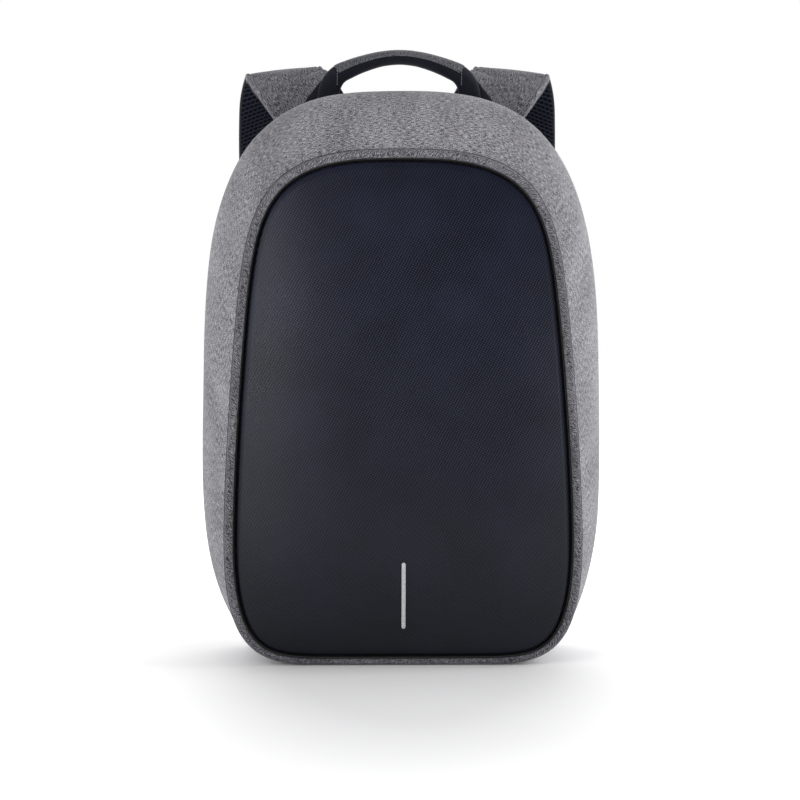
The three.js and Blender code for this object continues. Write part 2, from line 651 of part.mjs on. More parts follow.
/** Webbing from its sewn tab up around the middle bar of the lock, with a hanging tail. */
function webbingGeometry(frame) {
  const bar = LOCK_TOP + LOCK_BAR + LOCK_SLOT;
  const local = ([down, out]) => frame.at.clone()
    .addScaledVector(frame.down, down).addScaledVector(frame.out, out);
  const turn = turnPoints(bar, -1).map(local);
  const tail = [0.35, 0.7, 1].map((share) => local([bar + WEBBING_TAIL * share, LOOP_BEND]));
  const anchor = frame.anchor;
  const below = anchor.clone().add(new THREE.Vector3(0, 0, -ANCHOR_LENGTH * 0.85));
  const level = anchor.clone().add(new THREE.Vector3(0, 0, -ANCHOR_LENGTH * 0.2));
  const belowLock = local([bar + 2 * LOCK_BAR + LOCK_SLOT, -LOOP_BEND]);
  const rise = belowLock.clone().sub(anchor);
  const climb = [0.08, 0.3, 0.6].map((share) => anchor.clone().addScaledVector(rise, share)
    .add(new THREE.Vector3(0, (share < 0.1 ? -0.4 : 0) * WEBBING_SKIN, 0)));
  return ribbon([below, level, ...climb, belowLock, ...turn, ...tail], frame.across, WEBBING_WIDTH);
}

/** Sewn tab on the back padding that holds the lower end of the webbing. */
function anchorGeometry() {
  const shape = new THREE.Shape();
  const half = ANCHOR_WIDTH / 2;
  shape.moveTo(-half, 0);
  shape.lineTo(half, 0);
  shape.lineTo(half - ANCHOR_SKIN * 2, ANCHOR_LENGTH);
  shape.lineTo(-half + ANCHOR_SKIN * 2, ANCHOR_LENGTH);
  shape.closePath();
  const geometry = new THREE.ExtrudeGeometry(shape, { depth: ANCHOR_SKIN, bevelEnabled: false });
  geometry.rotateX(Math.PI / 2);
  geometry.translate(0, ANCHOR_SKIN, 0);
  return geometry;
}

/** Mirror image of a geometry across the middle plane of the bag. */
function mirrored(geometry) {
  const source = geometry.index ? geometry : indexed(geometry);
  const position = source.getAttribute('position');
  const points = [];
  for (let i = 0; i < position.count; i++) {
    points.push(-position.getX(i), position.getY(i), position.getZ(i));
  }
  return closedGeometry(points, Array.from(source.index.array));
}

/** A geometry with a plain running index. */
function indexed(geometry) {
  const copy = geometry.clone();
  copy.setIndex(Array.from({ length: copy.getAttribute('position').count }, (_, i) => i));
  return copy;
}

const FINISHES = {
  melange: { color: 0x8f8e93, roughness: 0.95, metalness: 0 },
  melangeDark: { color: 0x78777d, roughness: 0.95, metalness: 0 },
  panel: { color: 0x262a34, roughness: 0.55, metalness: 0 },
  reflective: { color: 0xc9cacd, roughness: 0.4, metalness: 0 },
  webbing: { color: 0x2c2e36, roughness: 0.85, metalness: 0 },
  mesh: { color: 0x14161d, roughness: 0.9, metalness: 0 },
  plastic: { color: 0x1b1c20, roughness: 0.5, metalness: 0 },
};

/** A named mesh in one of the finishes. */
function piece(name, geometry, finish) {
  const mesh = new THREE.Mesh(geometry, new THREE.MeshStandardMaterial(FINISHES[finish]));
  mesh.name = name;
  return mesh;
}

const backpack = new THREE.Group();
backpack.add(piece('shell', shellGeometry(), 'melange'));
backpack.add(piece('front_rim', rimGeometry(), 'melangeDark'));
backpack.add(piece('front_panel', panelGeometry(), 'panel'));
backpack.add(piece('reflective_strip', stripGeometry(), 'reflective'));
backpack.add(piece('rear_zip', zipGeometry(), 'webbing'));
backpack.add(piece('back_panel', backGeometry(), 'mesh'));

const slider = piece('zip_slider', sliderGeometry(), 'plastic');
const zipTop = REAR_LINE[SEGMENTS / 2].z - ZIP_START - ZIP_WIDTH / 2;
slider.position.set(0, BACK_REACH + COIL_RISE, zipTop);
backpack.add(slider);

backpack.add(piece('carry_handle', handleGeometry(), 'webbing'));
const TAB_DEPTH = BACK_REACH + HANDLE_FOOT_SKIN + 2 * GAP;
for (const [name, side] of [['handle_tab_left', -1], ['handle_tab_right', 1]]) {
  const tab = piece(name, tabGeometry(), 'mesh');
  tab.position.set((side * HANDLE_SPAN) / 2, TAB_DEPTH, BODY_HEIGHT - HANDLE_FOOT_DROP);
  backpack.add(tab);
}

const lower = lowerFrame();
const strapPieces = [
  ['strap', strapLayer(GAP / 2, GAP / 2 + STRAP_PAD, 0), 'melangeDark'],
  ['strap_mesh', strapLayer(-GAP / 2 - MESH_SKIN, -GAP / 2, MESH_INSET), 'mesh'],
  ['adjuster_loop', loopGeometry(lower), 'webbing'],
  ['adjuster', lockGeometry(lower), 'plastic'],
  ['webbing', webbingGeometry(lower), 'webbing'],
];
for (const [name, geometry, finish] of strapPieces) {
  backpack.add(piece(`${name}_right`, geometry, finish));
  backpack.add(piece(`${name}_left`, mirrored(geometry), finish));
}
for (const [name, side] of [['webbing_tab_left', -1], ['webbing_tab_right', 1]]) {
  const tab = piece(name, anchorGeometry(), 'mesh');
  tab.position.set(side * ANCHOR_OUT, STRAP_FACE, ANCHOR_HEIGHT);
  backpack.add(tab);
}

export default backpack;
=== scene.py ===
"""Anti theft backpack: grey melange body, smooth dark front panel, carry handle and padded straps.

Sizes are in millimetres in the row's own frame: X to the right, Y to the back, Z up, with the
origin on the floor under the middle of the bag. Meshes are made in metres.
"""
from __future__ import annotations

import json
import logging
import math
from collections.abc import Mapping, Sequence
from dataclasses import dataclass, field
from enum import Enum
from typing import Any, Protocol

import bmesh
import bpy
import numpy as np
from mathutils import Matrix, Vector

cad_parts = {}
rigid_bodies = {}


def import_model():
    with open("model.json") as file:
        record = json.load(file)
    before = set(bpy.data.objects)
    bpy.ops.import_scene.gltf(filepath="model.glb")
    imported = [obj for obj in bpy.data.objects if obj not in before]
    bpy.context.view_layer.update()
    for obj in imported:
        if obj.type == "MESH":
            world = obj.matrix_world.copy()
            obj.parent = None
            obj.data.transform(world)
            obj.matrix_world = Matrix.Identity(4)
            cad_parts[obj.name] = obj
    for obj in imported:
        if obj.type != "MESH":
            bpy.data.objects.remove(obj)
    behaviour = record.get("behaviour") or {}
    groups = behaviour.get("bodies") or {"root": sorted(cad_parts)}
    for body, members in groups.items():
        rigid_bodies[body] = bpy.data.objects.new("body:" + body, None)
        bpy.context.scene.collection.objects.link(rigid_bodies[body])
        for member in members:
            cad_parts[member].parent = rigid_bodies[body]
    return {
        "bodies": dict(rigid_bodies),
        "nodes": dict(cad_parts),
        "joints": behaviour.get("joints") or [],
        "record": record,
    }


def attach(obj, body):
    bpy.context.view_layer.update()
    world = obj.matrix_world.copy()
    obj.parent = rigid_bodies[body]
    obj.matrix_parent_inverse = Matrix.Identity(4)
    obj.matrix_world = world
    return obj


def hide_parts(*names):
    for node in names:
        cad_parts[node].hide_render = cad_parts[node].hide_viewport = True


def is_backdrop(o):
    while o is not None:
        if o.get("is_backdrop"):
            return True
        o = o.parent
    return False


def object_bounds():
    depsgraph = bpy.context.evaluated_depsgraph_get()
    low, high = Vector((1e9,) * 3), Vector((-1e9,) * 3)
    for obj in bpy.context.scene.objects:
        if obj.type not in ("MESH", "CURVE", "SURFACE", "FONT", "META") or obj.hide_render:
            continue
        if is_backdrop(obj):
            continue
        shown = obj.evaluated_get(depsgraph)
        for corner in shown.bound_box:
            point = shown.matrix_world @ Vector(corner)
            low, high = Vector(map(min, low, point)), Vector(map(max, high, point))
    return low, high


LOG = logging.getLogger("backpack")
MM = 0.001
Array = np.ndarray


class Side(Enum):
    """The two shoulders of the bag, as the sign of X."""

    LEFT = -1
    RIGHT = 1

    @property
    def label(self) -> str:
        """The side's word in node names."""
        return self.name.lower()


# Geometry helpers


def mix(a: Any, b: Any, share: Any) -> Any:
    """The value a share of the way from a to b."""
    return a + (b - a) * share


def unit(vectors: Array) -> Array:
    """Vectors at length one, along the last axis."""
    return vectors / np.maximum(np.linalg.norm(vectors, axis=-1, keepdims=True), 1e-12)


def ease(value: Any) -> Any:
    """A step from 0 to 1 with level ends: three times the square less twice the cube."""
    held = np.clip(value, 0.0, 1.0)
    return held * held * (3.0 - 2.0 * held)


def run_lengths(points: Array) -> Array:
    """Distance travelled along a row of points, starting at zero."""
    steps = np.linalg.norm(np.diff(points, axis=0), axis=1)
    return np.concatenate([[0.0], np.cumsum(steps)])


def resample(values: Array, run: Array, place: Array) -> Array:
    """Rows of values, known along a run, at other places on it."""
    return np.stack([np.interp(place, run, values[:, k]) for k in range(values.shape[1])], axis=-1)


def round_corners(loops: Array, times: int = 2) -> Array:
    """Closed loops with their corners cut.

    Each pass replaces a side by the points a quarter and three quarters of the way along it.

    Args:
        loops: Points as rows, corners, 3; each row is one closed loop.
        times: Number of passes; each doubles the corners.

    Returns:
        The loops with more corners.
    """
    for _ in range(times):
        ahead = np.roll(loops, -1, axis=1)
        pair = np.stack([mix(loops, ahead, 0.25), mix(loops, ahead, 0.75)], axis=2)
        loops = pair.reshape(loops.shape[0], -1, 3)
    return loops


@dataclass(frozen=True)
class Ring:
    """A closed outline of the body seen from the front, with outward normals."""

    x: Array
    z: Array
    nx: Array
    nz: Array

    def beside(self, out: Any, depth: Any) -> Array:
        """Points moved outward across the outline, at a depth, and never under the floor."""
        level = np.maximum(self.z + self.nz * out, 0.0)
        return np.stack(np.broadcast_arrays(self.x + self.nx * out, depth, level), axis=-1)


@dataclass(frozen=True)
class OutlineForm:
    """An outline of two curved halves that meet at the widest level.

    In each half the share of the half width to the power exp_x plus the share of the height to
    the power exp_z is one, and the upper half narrows by the taper.
    """

    width: float
    bottom: float
    top: float
    wide: float
    taper: float
    up_z: float
    up_x: float
    low_z: float
    low_x: float
    corner_weight: float = 0.5

    def _half(self) -> tuple[Array, Array]:
        """Close points of the right half, from the middle of the bottom to that of the top.

        Returns:
            Sides and levels of the points.
        """
        phi = math.pi / 2 * np.sin(math.pi / 2 * np.linspace(0.0, 1.0, 301)) ** 3
        level = self.bottom + (self.top - self.bottom) * self.wide

        def quarter(end: float, exp_z: float, exp_x: float, taper: float) -> tuple[Array, Array]:
            """One quarter of the outline, from the widest level to its end.

            Args:
                end: Level of its end.
                exp_z: Power of the height.
                exp_x: Power of the half width.
                taper: How much narrower its end is.

            Returns:
                Sides and levels of its points.
            """
            share = np.sin(phi) ** (2 / exp_z)
            bow = np.maximum(np.cos(phi), 0.0) ** (2 / exp_x)
            across = self.width / 2 * (1 - taper * share**1.5) * bow
            return across, np.maximum(level + (end - level) * share, 0.0)

        low_x, low_z = quarter(self.bottom, self.low_z, self.low_x, 0.0)
        up_x, up_z = quarter(self.top, self.up_z, self.up_x, self.taper)
        return np.concatenate([low_x[:0:-1], up_x]), np.concatenate([low_z[:0:-1], up_z])

    def ring(self, count: int) -> Ring:
        """The outline as samples that are closer together at its corners.

        Args:
            count: Number of samples, even.

        Returns:
            The samples, from the middle of the bottom round by the right side.
        """
        x, z = self._half()
        dx, dz = np.diff(x), np.diff(z)
        length = np.hypot(dx, dz)
        turn = np.abs(np.diff(np.arctan2(dz, dx), prepend=math.atan2(dz[0], dx[0]))) / math.pi
        weight = self.corner_weight
        step = (1 - weight) * length / length.sum() + weight * turn
        measure = np.concatenate([[0.0], np.cumsum(step)])
        goal = np.linspace(0.0, measure[-1], count // 2 + 1)
        index, reach = np.arange(len(x)), 4
        ahead, behind = np.minimum(index + reach, len(x) - 1), np.maximum(index - reach - 1, 0)
        tx = np.interp(goal, measure, x[ahead] - x[behind])
        tz = np.interp(goal, measure, z[ahead] - z[behind])
        tz[[0, -1]] = 0.0
        scale = np.hypot(tx, tz)
        sx, sz = np.interp(goal, measure, x), np.interp(goal, measure, z)
        nx, nz = tz / scale, -tx / scale

        def close(right: Array, sign: float) -> Array:
            """A right half with its mirrored left half."""
            return np.concatenate([right, sign * right[-2:0:-1]])

        return Ring(close(sx, -1), close(sz, 1), close(nx, -1), close(nz, 1))


class Spline:
    """A smooth curve through chosen points, each stretch a cubic with its own chord weights."""

    def __init__(self, points: Array) -> None:
        """Works out the cubics.

        Args:
            points: The points that the curve passes, as rows of three.
        """
        full = np.vstack([2 * points[0] - points[1], points, 2 * points[-1] - points[-2]])
        gap = np.maximum(np.sum(np.diff(full, axis=0) ** 2, axis=1) ** 0.25, 1e-4)[:, None]
        p0, p1, p2, p3 = full[:-3], full[1:-2], full[2:-1], full[3:]
        d0, d1, d2 = gap[:-2], gap[1:-1], gap[2:]
        t1 = ((p1 - p0) / d0 - (p2 - p0) / (d0 + d1) + (p2 - p1) / d1) * d1
        t2 = ((p2 - p1) / d1 - (p3 - p1) / (d1 + d2) + (p3 - p2) / d2) * d1
        self.cubic = np.stack([p1, t1, 3 * (p2 - p1) - 2 * t1 - t2, 2 * (p1 - p2) + t1 + t2])

    def sample(self, share: Array) -> tuple[Array, Array]:
        """Points and unit directions at shares of the way, counted in stretches.

        Args:
            share: Shares from 0 to 1.

        Returns:
            Points and directions, as rows of three.
        """
        step = share * self.cubic.shape[1]
        piece = np.minimum(step.astype(int), self.cubic.shape[1] - 1)
        w = (step - piece)[:, None]
        c0, c1, c2, c3 = self.cubic[:, piece]
        return c0 + w * (c1 + w * (c2 + w * c3)), unit(c1 + w * (2 * c2 + 3 * w * c3))


@dataclass(frozen=True)
class Path:
    """A route with a width axis and an outward axis at each station."""

    at: Array
    across: Array
    out: Array

    @property
    def run(self) -> Array:
        """Distance travelled along the route."""
        return run_lengths(self.at)

    def sweep(self, side: Array, height: Array) -> Array:
        """Section points carried along the route: each is its place plus side and height parts.

        Args:
            side: Side of each point, as stations by points.
            height: Height of each point, as stations by points.

        Returns:
            The points, as stations by points by three.
        """
        return (
            self.at[:, None, :]
            + side[..., None] * self.across[:, None, :]
            + height[..., None] * self.out[:, None, :]
        )

    def mirrored(self, side: Side) -> "Path":
        """The route on the other side of the bag where the side is the left one."""
        flip = np.array([float(side.value), 1.0, 1.0])
        return Path(self.at * flip, self.across * flip, self.out * flip)


def ribbon_path(points: Array, across: Array) -> Path:
    """A route through points with one width axis, its outward axis square to both.

    Args:
        points: The points, as rows of three.
        across: The width axis.

    Returns:
        The route.
    """
    tangent = np.gradient(points, axis=0)
    side = np.broadcast_to(across, points.shape)
    return Path(points, side, unit(np.cross(side, tangent)))


def slab(
    half: Array, low: Array, high: Array, count: int = 40, power: float = 5.0
) -> tuple[Array, Array]:
    """A flat section with rounded edges at each station.

    Its points lie where the side share to the power and the height share to the rise power add
    up to one.

    Args:
        half: Half width at each station.
        low: Height of the under face at each station.
        high: Height of the upper face at each station.
        count: Points around the section.
        power: How square the section is sideways.

    Returns:
        Side and height of the section points, as stations by points.
    """
    rise_power = 2.6
    angle = np.linspace(0.0, 2 * math.pi, count, endpoint=False)
    side = np.sign(np.cos(angle)) * np.abs(np.cos(angle)) ** (2 / power)
    rise = np.sign(np.sin(angle)) * np.abs(np.sin(angle)) ** (2 / rise_power)
    half, low, high = (np.atleast_1d(v)[:, None] for v in (half, low, high))
    return half * side, (low + high) / 2 + (high - low) / 2 * rise


# Meshes


def cells(rows: int, cols: int, wrap_rows: bool, wrap_cols: bool) -> Array:
    """The cells of a grid of points, as four-sided faces.

    Args:
        rows: Number of rows.
        cols: Number of points in a row.
        wrap_rows: Whether the last row joins the first.
        wrap_cols: Whether the last column joins the first.

    Returns:
        Numbers of the corner points, as cells by four.
    """
    r = np.arange(rows if wrap_rows else rows - 1)[:, None]
    c = np.arange(cols if wrap_cols else cols - 1)[None, :]
    r2, c2 = (r + 1) % rows, (c + 1) % cols
    corners = np.stack([r * cols + c, r * cols + c2, r2 * cols + c2, r2 * cols + c], axis=-1)
    return corners.reshape(-1, 4)


def point_outward(points: Array, faces: Array) -> bool:
    """Whether four-sided faces point away from the middle of their points, taken together.

    Args:
        points: Points as rows of three.
        faces: Numbers of the corner points, as faces by four.

    Returns:
        True where they point outward.
    """
    quads = points[faces]
    normal = np.cross(quads[:, 2] - quads[:, 0], quads[:, 3] - quads[:, 1])
    return float(np.sum((quads.mean(axis=1) - points.mean(axis=0)) * normal)) > 0


def smooth(mesh: bpy.types.Mesh, sharp_deg: float | None = None) -> None:
    """Shades a mesh smooth, apart from edges bent by more than an angle.

    Args:
        mesh: The mesh, changed in place.
        sharp_deg: The angle in degrees, or None to keep no edge sharp.
    """
    mesh.polygons.foreach_set("use_smooth", np.ones(len(mesh.polygons), dtype=bool))
    if sharp_deg is not None:
        mesh.set_sharp_from_angle(angle=math.radians(sharp_deg))
    mesh.update()


def linked(name: str, mesh: bpy.types.Mesh) -> bpy.types.Object:
    """A new object of a mesh, linked to the scene.

    Args:
        name: Name of the object.
        mesh: Its mesh.

    Returns:
        The object.
    """
    piece = bpy.data.objects.new(name, mesh)
    bpy.context.scene.collection.objects.link(piece)
    return piece


def points_of(mesh: bpy.types.Mesh) -> Array:
    """The points of a mesh in metres, as rows of three.

    Args:
        mesh: The mesh.

    Returns:
        Its points.
    """
    flat = np.empty(len(mesh.vertices) * 3)
    mesh.vertices.foreach_get("co", flat)
    return flat.reshape(-1, 3)


def lay_cloth(mesh: bpy.types.Mesh, uv: Array) -> None:
    """Gives a mesh cloth coordinates in millimetres, one for each corner of its faces."""
    layer = mesh.uv_layers.new(name="cloth")
    layer.data.foreach_set("uv", uv.astype(np.float32).ravel())


def cloth_of(grid: Array, wrap_rows: bool) -> Array:
    """Cloth coordinates of a grid from its mean spacing.

    The first grows by the mean distance from column to column, and the second by the mean
    distance from row to row.

    Args:
        grid: Points in millimetres, as rows by columns by three.
        wrap_rows: Whether the last row joins the first.

    Returns:
        Coordinates as rows by columns by two, one longer where the grid wraps.
    """
    down = np.linalg.norm(np.diff(grid, axis=0), axis=2).mean(axis=1)
    wide = np.linalg.norm(np.roll(grid, -1, axis=1) - grid, axis=2).mean(axis=0)
    if wrap_rows:
        down = np.append(down, np.linalg.norm(grid[0] - grid[-1], axis=1).mean())
    u_run, v_run = (np.concatenate([[0.0], np.cumsum(steps)]) for steps in (wide, down))
    return np.stack(np.broadcast_arrays(u_run[None, :], v_run[:, None]), axis=-1)


def surface(
    name: str,
    grid: Array,
    uv: Array | None = None,
    wrap_rows: bool = False,
    wrap_cols: bool = True,
    caps: bool = False,
    sharp_deg: float = 50.0,
) -> bpy.types.Object:
    """A mesh object from a grid of points.

    Each cell of the grid is a four-sided face. The faces are turned so that they point away from
    the middle of the mesh.

    Args:
        name: Name of the piece.
        grid: Points in millimetres, as rows by columns by three.
        uv: Cloth coordinates in millimetres, one row or column longer where the grid wraps.
        wrap_rows: Whether the last row joins the first.
        wrap_cols: Whether the last column joins the first.
        caps: Whether the first and last rows are closed by a face each.
        sharp_deg: Edges bent by more than this stay sharp.

    Returns:
        The new object, linked to the scene.
    """
    rows, cols = grid.shape[:2]
    points = grid.reshape(-1, 3)
    faces = cells(rows, cols, wrap_rows, wrap_cols)
    cloth = (cloth_of(grid, wrap_rows) if uv is None else uv)[:, : cols + wrap_cols]
    corners = cells(cloth.shape[0], cloth.shape[1], False, False)
    uv_at = cloth.reshape(-1, 2)[corners]
    outward = point_outward(points, faces)
    if not outward:
        faces, uv_at = faces[:, ::-1], uv_at[:, ::-1]
    face_list: list[list[int]] = faces.tolist()
    uv_list = [uv_at.reshape(-1, 2)]
    if caps:
        for cap in (np.arange(cols)[::-1], (rows - 1) * cols + np.arange(cols)):
            order = cap if outward else cap[::-1]
            face_list.append(order.tolist())
            uv_list.append(points[order][:, [0, 2]])
    mesh = bpy.data.meshes.new(name)
    mesh.from_pydata((points * MM).tolist(), [], face_list)
    lay_cloth(mesh, np.concatenate(uv_list))
    smooth(mesh, sharp_deg)
    return linked(name, mesh)


def many(name: str, shapes: Array) -> bpy.types.Object:
    """One mesh of many small capped tubes.

    Args:
        name: Name of the piece.
        shapes: Points in millimetres, as shapes by rows by columns by three.

    Returns:
        The new object, linked to the scene.
    """
    count, rows, cols = shapes.shape[:3]
    quads = cells(rows, cols, False, True)
    ends = np.stack([np.arange(cols)[::-1], (rows - 1) * cols + np.arange(cols)])
    if not point_outward(shapes[0].reshape(-1, 3), quads):
        quads, ends = quads[:, ::-1], ends[:, ::-1]
    start = (np.arange(count) * rows * cols)[:, None, None]
    faces = (quads[None] + start).reshape(-1, 4).tolist()
    faces += (ends[None] + start).reshape(-1, cols).tolist()
    mesh = bpy.data.meshes.new(name)
    mesh.from_pydata((shapes.reshape(-1, 3) * MM).tolist(), [], faces)
    smooth(mesh)
    return linked(name, mesh)


def stitches(
    name: str, line: Array, up: Array, pitch: float = 3.4, length: float = 2.5, radius: float = 0.32
) -> bpy.types.Object:
    """A row of stitches along a line.

    Each stitch is a short tube, thick in the middle and sunk at its ends: its radius follows the
    sine of the way along it.

    Args:
        name: Name of the piece.
        line: Points of the line in millimetres, close together.
        up: Direction away from the cloth at each point.
        pitch: Distance between stitches.
        length: Length of one stitch.
        radius: Radius of the thread.

    Returns:
        The new object.
    """
    run = run_lengths(line)
    count = max(int(run[-1] // pitch), 1)
    middle = (np.arange(count) + 0.5) * run[-1] / count
    along = np.linspace(-0.5, 0.5, 5)
    place = np.clip(middle[:, None] + along[None, :] * length, 0.0, run[-1])
    at = resample(line, run, place)
    lift = unit(resample(up, run, place))
    tangent = unit(np.gradient(at, axis=1))
    side = unit(np.cross(tangent, lift))
    swell = np.cos(along * math.pi * 0.86)  # thin at the ends, but not closed there
    angle = np.linspace(0.0, 2 * math.pi, 6, endpoint=False)
    tube = radius * swell[None, :, None, None]
    height = radius * (swell - 0.55)[None, :, None, None]
    ring = side[:, :, None] * np.cos(angle)[:, None] + lift[:, :, None] * np.sin(angle)[:, None]
    return many(name, at[:, :, None] + ring * tube + lift[:, :, None] * height)


def plate(name: str, corners: Array, front: float, back: float, edge: float) -> bpy.types.Object:
    """A flat cloth piece in the XZ plane with softened corners and edges.

    Its rows are the outline shrunk toward its middle at the front, the full outline, and the
    outline shrunk at the back.

    Args:
        name: Name of the piece.
        corners: Corners as rows of x and z.
        front: Depth of the front face.
        back: Depth of the back face.
        edge: Width of the softened edge.

    Returns:
        The new object.
    """
    flat = np.stack([corners[:, 0], np.zeros(len(corners)), corners[:, 1]], axis=-1)
    share = np.linspace(0.0, 1.0, 12, endpoint=False)[None, :, None]
    outline = mix(flat[:, None], np.roll(flat, -1, axis=0)[:, None], share).reshape(-1, 3)
    for _ in range(3):
        outline = (np.roll(outline, 1, axis=0) + 2 * outline + np.roll(outline, -1, axis=0)) / 4
    middle = outline.mean(axis=0)
    inset = edge / np.linalg.norm(outline - middle, axis=1).mean()
    # share of the outline and share of the depth
    profile = np.array([
        (0.5, 0.0), (0.8, 0.0), (1 - inset, 0.0), (1 - 0.3 * inset, 0.12), (1.0, 0.35),
        (1.0, 0.65), (1 - 0.3 * inset, 0.88), (1 - inset, 1.0), (0.8, 1.0), (0.5, 1.0),
    ])
    rows = middle + (outline - middle) * profile[:, 0, None, None]
    rows[..., 1] = mix(front, back, profile[:, 1, None])
    return surface(name, rows, caps=True)


def rounded_copy(node: bpy.types.Object, name: str, width: float) -> bpy.types.Object:
    """A copy of a CAD node with its triangles merged into flat faces and its edges rounded.

    Args:
        node: The CAD node, left as it is.
        name: Name of the copy.
        width: Width of the rounding in millimetres.

    Returns:
        The new object.
    """
    work = bmesh.new()
    work.from_mesh(node.data)
    bmesh.ops.remove_doubles(work, verts=work.verts, dist=1e-6)
    bmesh.ops.dissolve_limit(work, angle_limit=math.radians(1.0), verts=work.verts, edges=work.edges)
    mesh = bpy.data.meshes.new(name)
    work.to_mesh(mesh)
    work.free()
    piece = linked(name, mesh)
    add_modifier(
        piece, "BEVEL", width=width * MM, segments=3, limit_method="ANGLE", angle_limit=math.radians(25.0)
    )
    apply_modifiers(piece)
    smooth(piece.data, 50.0)
    return piece


def add_modifier(piece: bpy.types.Object, kind: str, **settings: Any) -> None:
    """Adds a modifier with its settings.

    Args:
        piece: The object.
        kind: Blender's name of the modifier.
        settings: Properties of the modifier.
    """
    modifier = piece.modifiers.new(kind.lower(), kind)
    for key, value in settings.items():
        setattr(modifier, key, value)


def apply_modifiers(piece: bpy.types.Object) -> None:
    """Puts the shape that the modifiers give into the mesh and drops them.

    Args:
        piece: The object, changed in place.
    """
    graph = bpy.context.evaluated_depsgraph_get()
    mesh = bpy.data.meshes.new_from_object(piece.evaluated_get(graph))
    old = piece.data
    piece.modifiers.clear()
    piece.data = mesh
    bpy.data.meshes.remove(old)


# Materials


def linear(colour: str) -> tuple[float, float, float, float]:
    """A colour for a shader socket from an sRGB hex value such as #8f8e93.

    Args:
        colour: The hex value, with its leading sign.

    Returns:
        Linear red, green and blue, and full alpha.
    """
    channels = [int(colour[i : i + 2], 16) / 255 for i in (1, 3, 5)]
    lit = [c / 12.92 if c <= 0.04045 else ((c + 0.055) / 1.055) ** 2.4 for c in channels]
    return (lit[0], lit[1], lit[2], 1.0)


class Recipe:
    """A node tree being put together, with one function that adds its nodes."""

    def __init__(self, owner: bpy.types.Material | bpy.types.World) -> None:
        """Starts from the owner's tree, emptied.

        Args:
            owner: The material or world that the nodes are for.
        """
        owner.use_nodes = True
        self.owner = owner
        self.tree = owner.node_tree
        self.tree.nodes.clear()

    def add(
        self,
        kind: str,
        inputs: Mapping[Any, Any] | Sequence[Any] = (),
        out: Any = 0,
        stops: Sequence[tuple[float, str]] = (),
        **settings: Any,
    ) -> Any:
        """Adds a node with its settings and links.

        Args:
            kind: Blender's name of the node type, without its first word.
            inputs: Values, or output sockets to link, in the order of the sockets or by name.
            out: Name or number of the output socket to return, or None for all of them.
            stops: Places and sRGB hex colours of a colour ramp.
            settings: Properties of the node.

        Returns:
            The chosen output socket, or a tuple of all of them.
        """
        node = self.tree.nodes.new(f"ShaderNode{kind}")
        for key, value in settings.items():
            setattr(node, key, value)
        for index, (place, colour) in enumerate(stops):
            elements = node.color_ramp.elements
            element = elements[index] if index < len(elements) else elements.new(place)
            element.position, element.color = place, linear(colour)
        for key, value in inputs.items() if isinstance(inputs, Mapping) else enumerate(inputs):
            if isinstance(value, bpy.types.NodeSocket):
                self.tree.links.new(value, node.inputs[key])
            else:
                node.inputs[key].default_value = value
        return tuple(node.outputs) if out is None else node.outputs[out]

    def cloth_mm(self, turn_deg: float = 0.0) -> Any:
        """The piece's own cloth coordinates in millimetres, turned if asked.

        Args:
            turn_deg: Turn about the face in degrees.

        Returns:
            The coordinates.
        """
        cloth = self.add("UVMap", uv_map="cloth")
        if turn_deg == 0.0:
            return cloth
        return self.add("Mapping", {"Vector": cloth, "Rotation": (0.0, 0.0, math.radians(turn_deg))})

    def object_mm(self) -> Any:
        """Object coordinates in millimetres."""
        place = self.add("TexCoord", out="Object")
        return self.add("VectorMath", {0: place, "Scale": 1000.0}, operation="SCALE")

    def grain(self, place: Any, cell: tuple[float, float], detail: float = 2.0) -> Any:
        """A cloud value about one half, in cells of a width and a length in millimetres.

        Args:
            place: Coordinates in millimetres.
            cell: Width and length of a cell.
            detail: Number of finer layers.

        Returns:
            The value.
        """
        size = (1 / cell[0], 1 / cell[1], 1.0)
        stretched = self.add("VectorMath", (place, size), operation="MULTIPLY")
        return self.add("TexNoise", {"Vector": stretched, "Scale": 1.0, "Detail": detail})

    def wave(self, value: Any, pitch: float) -> Any:
        """A sine of a length in millimetres that repeats each pitch, from 0 to 1.

        Args:
            value: The length.
            pitch: Length of one wave.

        Returns:
            The value.
        """
        turns = self.add("Math", (value, 2 * math.pi / pitch), operation="MULTIPLY")
        sine = self.add("Math", (turns,), operation="SINE")
        return self.add("Math", (sine, 0.5, 0.5), operation="MULTIPLY_ADD")

    def lattice(self, cloth: Any, across: float, along: float) -> Any:
        """Dots where two waves cross: the product of one across and one along the cloth."""
        u, v, _ = self.add("SeparateXYZ", (cloth,), out=None)
        return self.add("Math", (self.wave(u, across), self.wave(v, along)), operation="MULTIPLY")

    def blend(self, value: Any, share: float, other: Any) -> Any:
        """A share of one value plus the rest of another."""
        rest = self.add("Math", (other, 1 - share), operation="MULTIPLY")
        return self.add("Math", (value, share, rest), operation="MULTIPLY_ADD")

    def shaded(self, colour: Any, climb: Climb) -> Any:
        """A colour times a share that changes with the height."""
        return self.add("VectorMath", {0: colour, "Scale": climb.value(self)}, operation="SCALE")

    def finish(
        self, colour: Any, height: Any = None, depth_mm: float = 0.1, **sockets: Any
    ) -> bpy.types.Material:
        """Joins a colour and a height to the surface shader.

        Args:
            colour: Base colour, a socket or a colour value.
            height: Height from 0 to 1 for the bump, or None.
            depth_mm: Depth of the bump in millimetres.
            sockets: Other shader sockets; an underscore stands for a space.

        Returns:
            The finished material.
        """
        inputs: dict[str, Any] = {"Base Color": colour}
        inputs.update({key.replace("_", " "): value for key, value in sockets.items()})
        if height is not None:
            bump = {"Height": height, "Strength": 1.0, "Distance": depth_mm * MM}
            inputs["Normal"] = self.add("Bump", bump, out="Normal")
        self.add("OutputMaterial", {"Surface": self.add("BsdfPrincipled", inputs)}, out=None)
        return self.owner


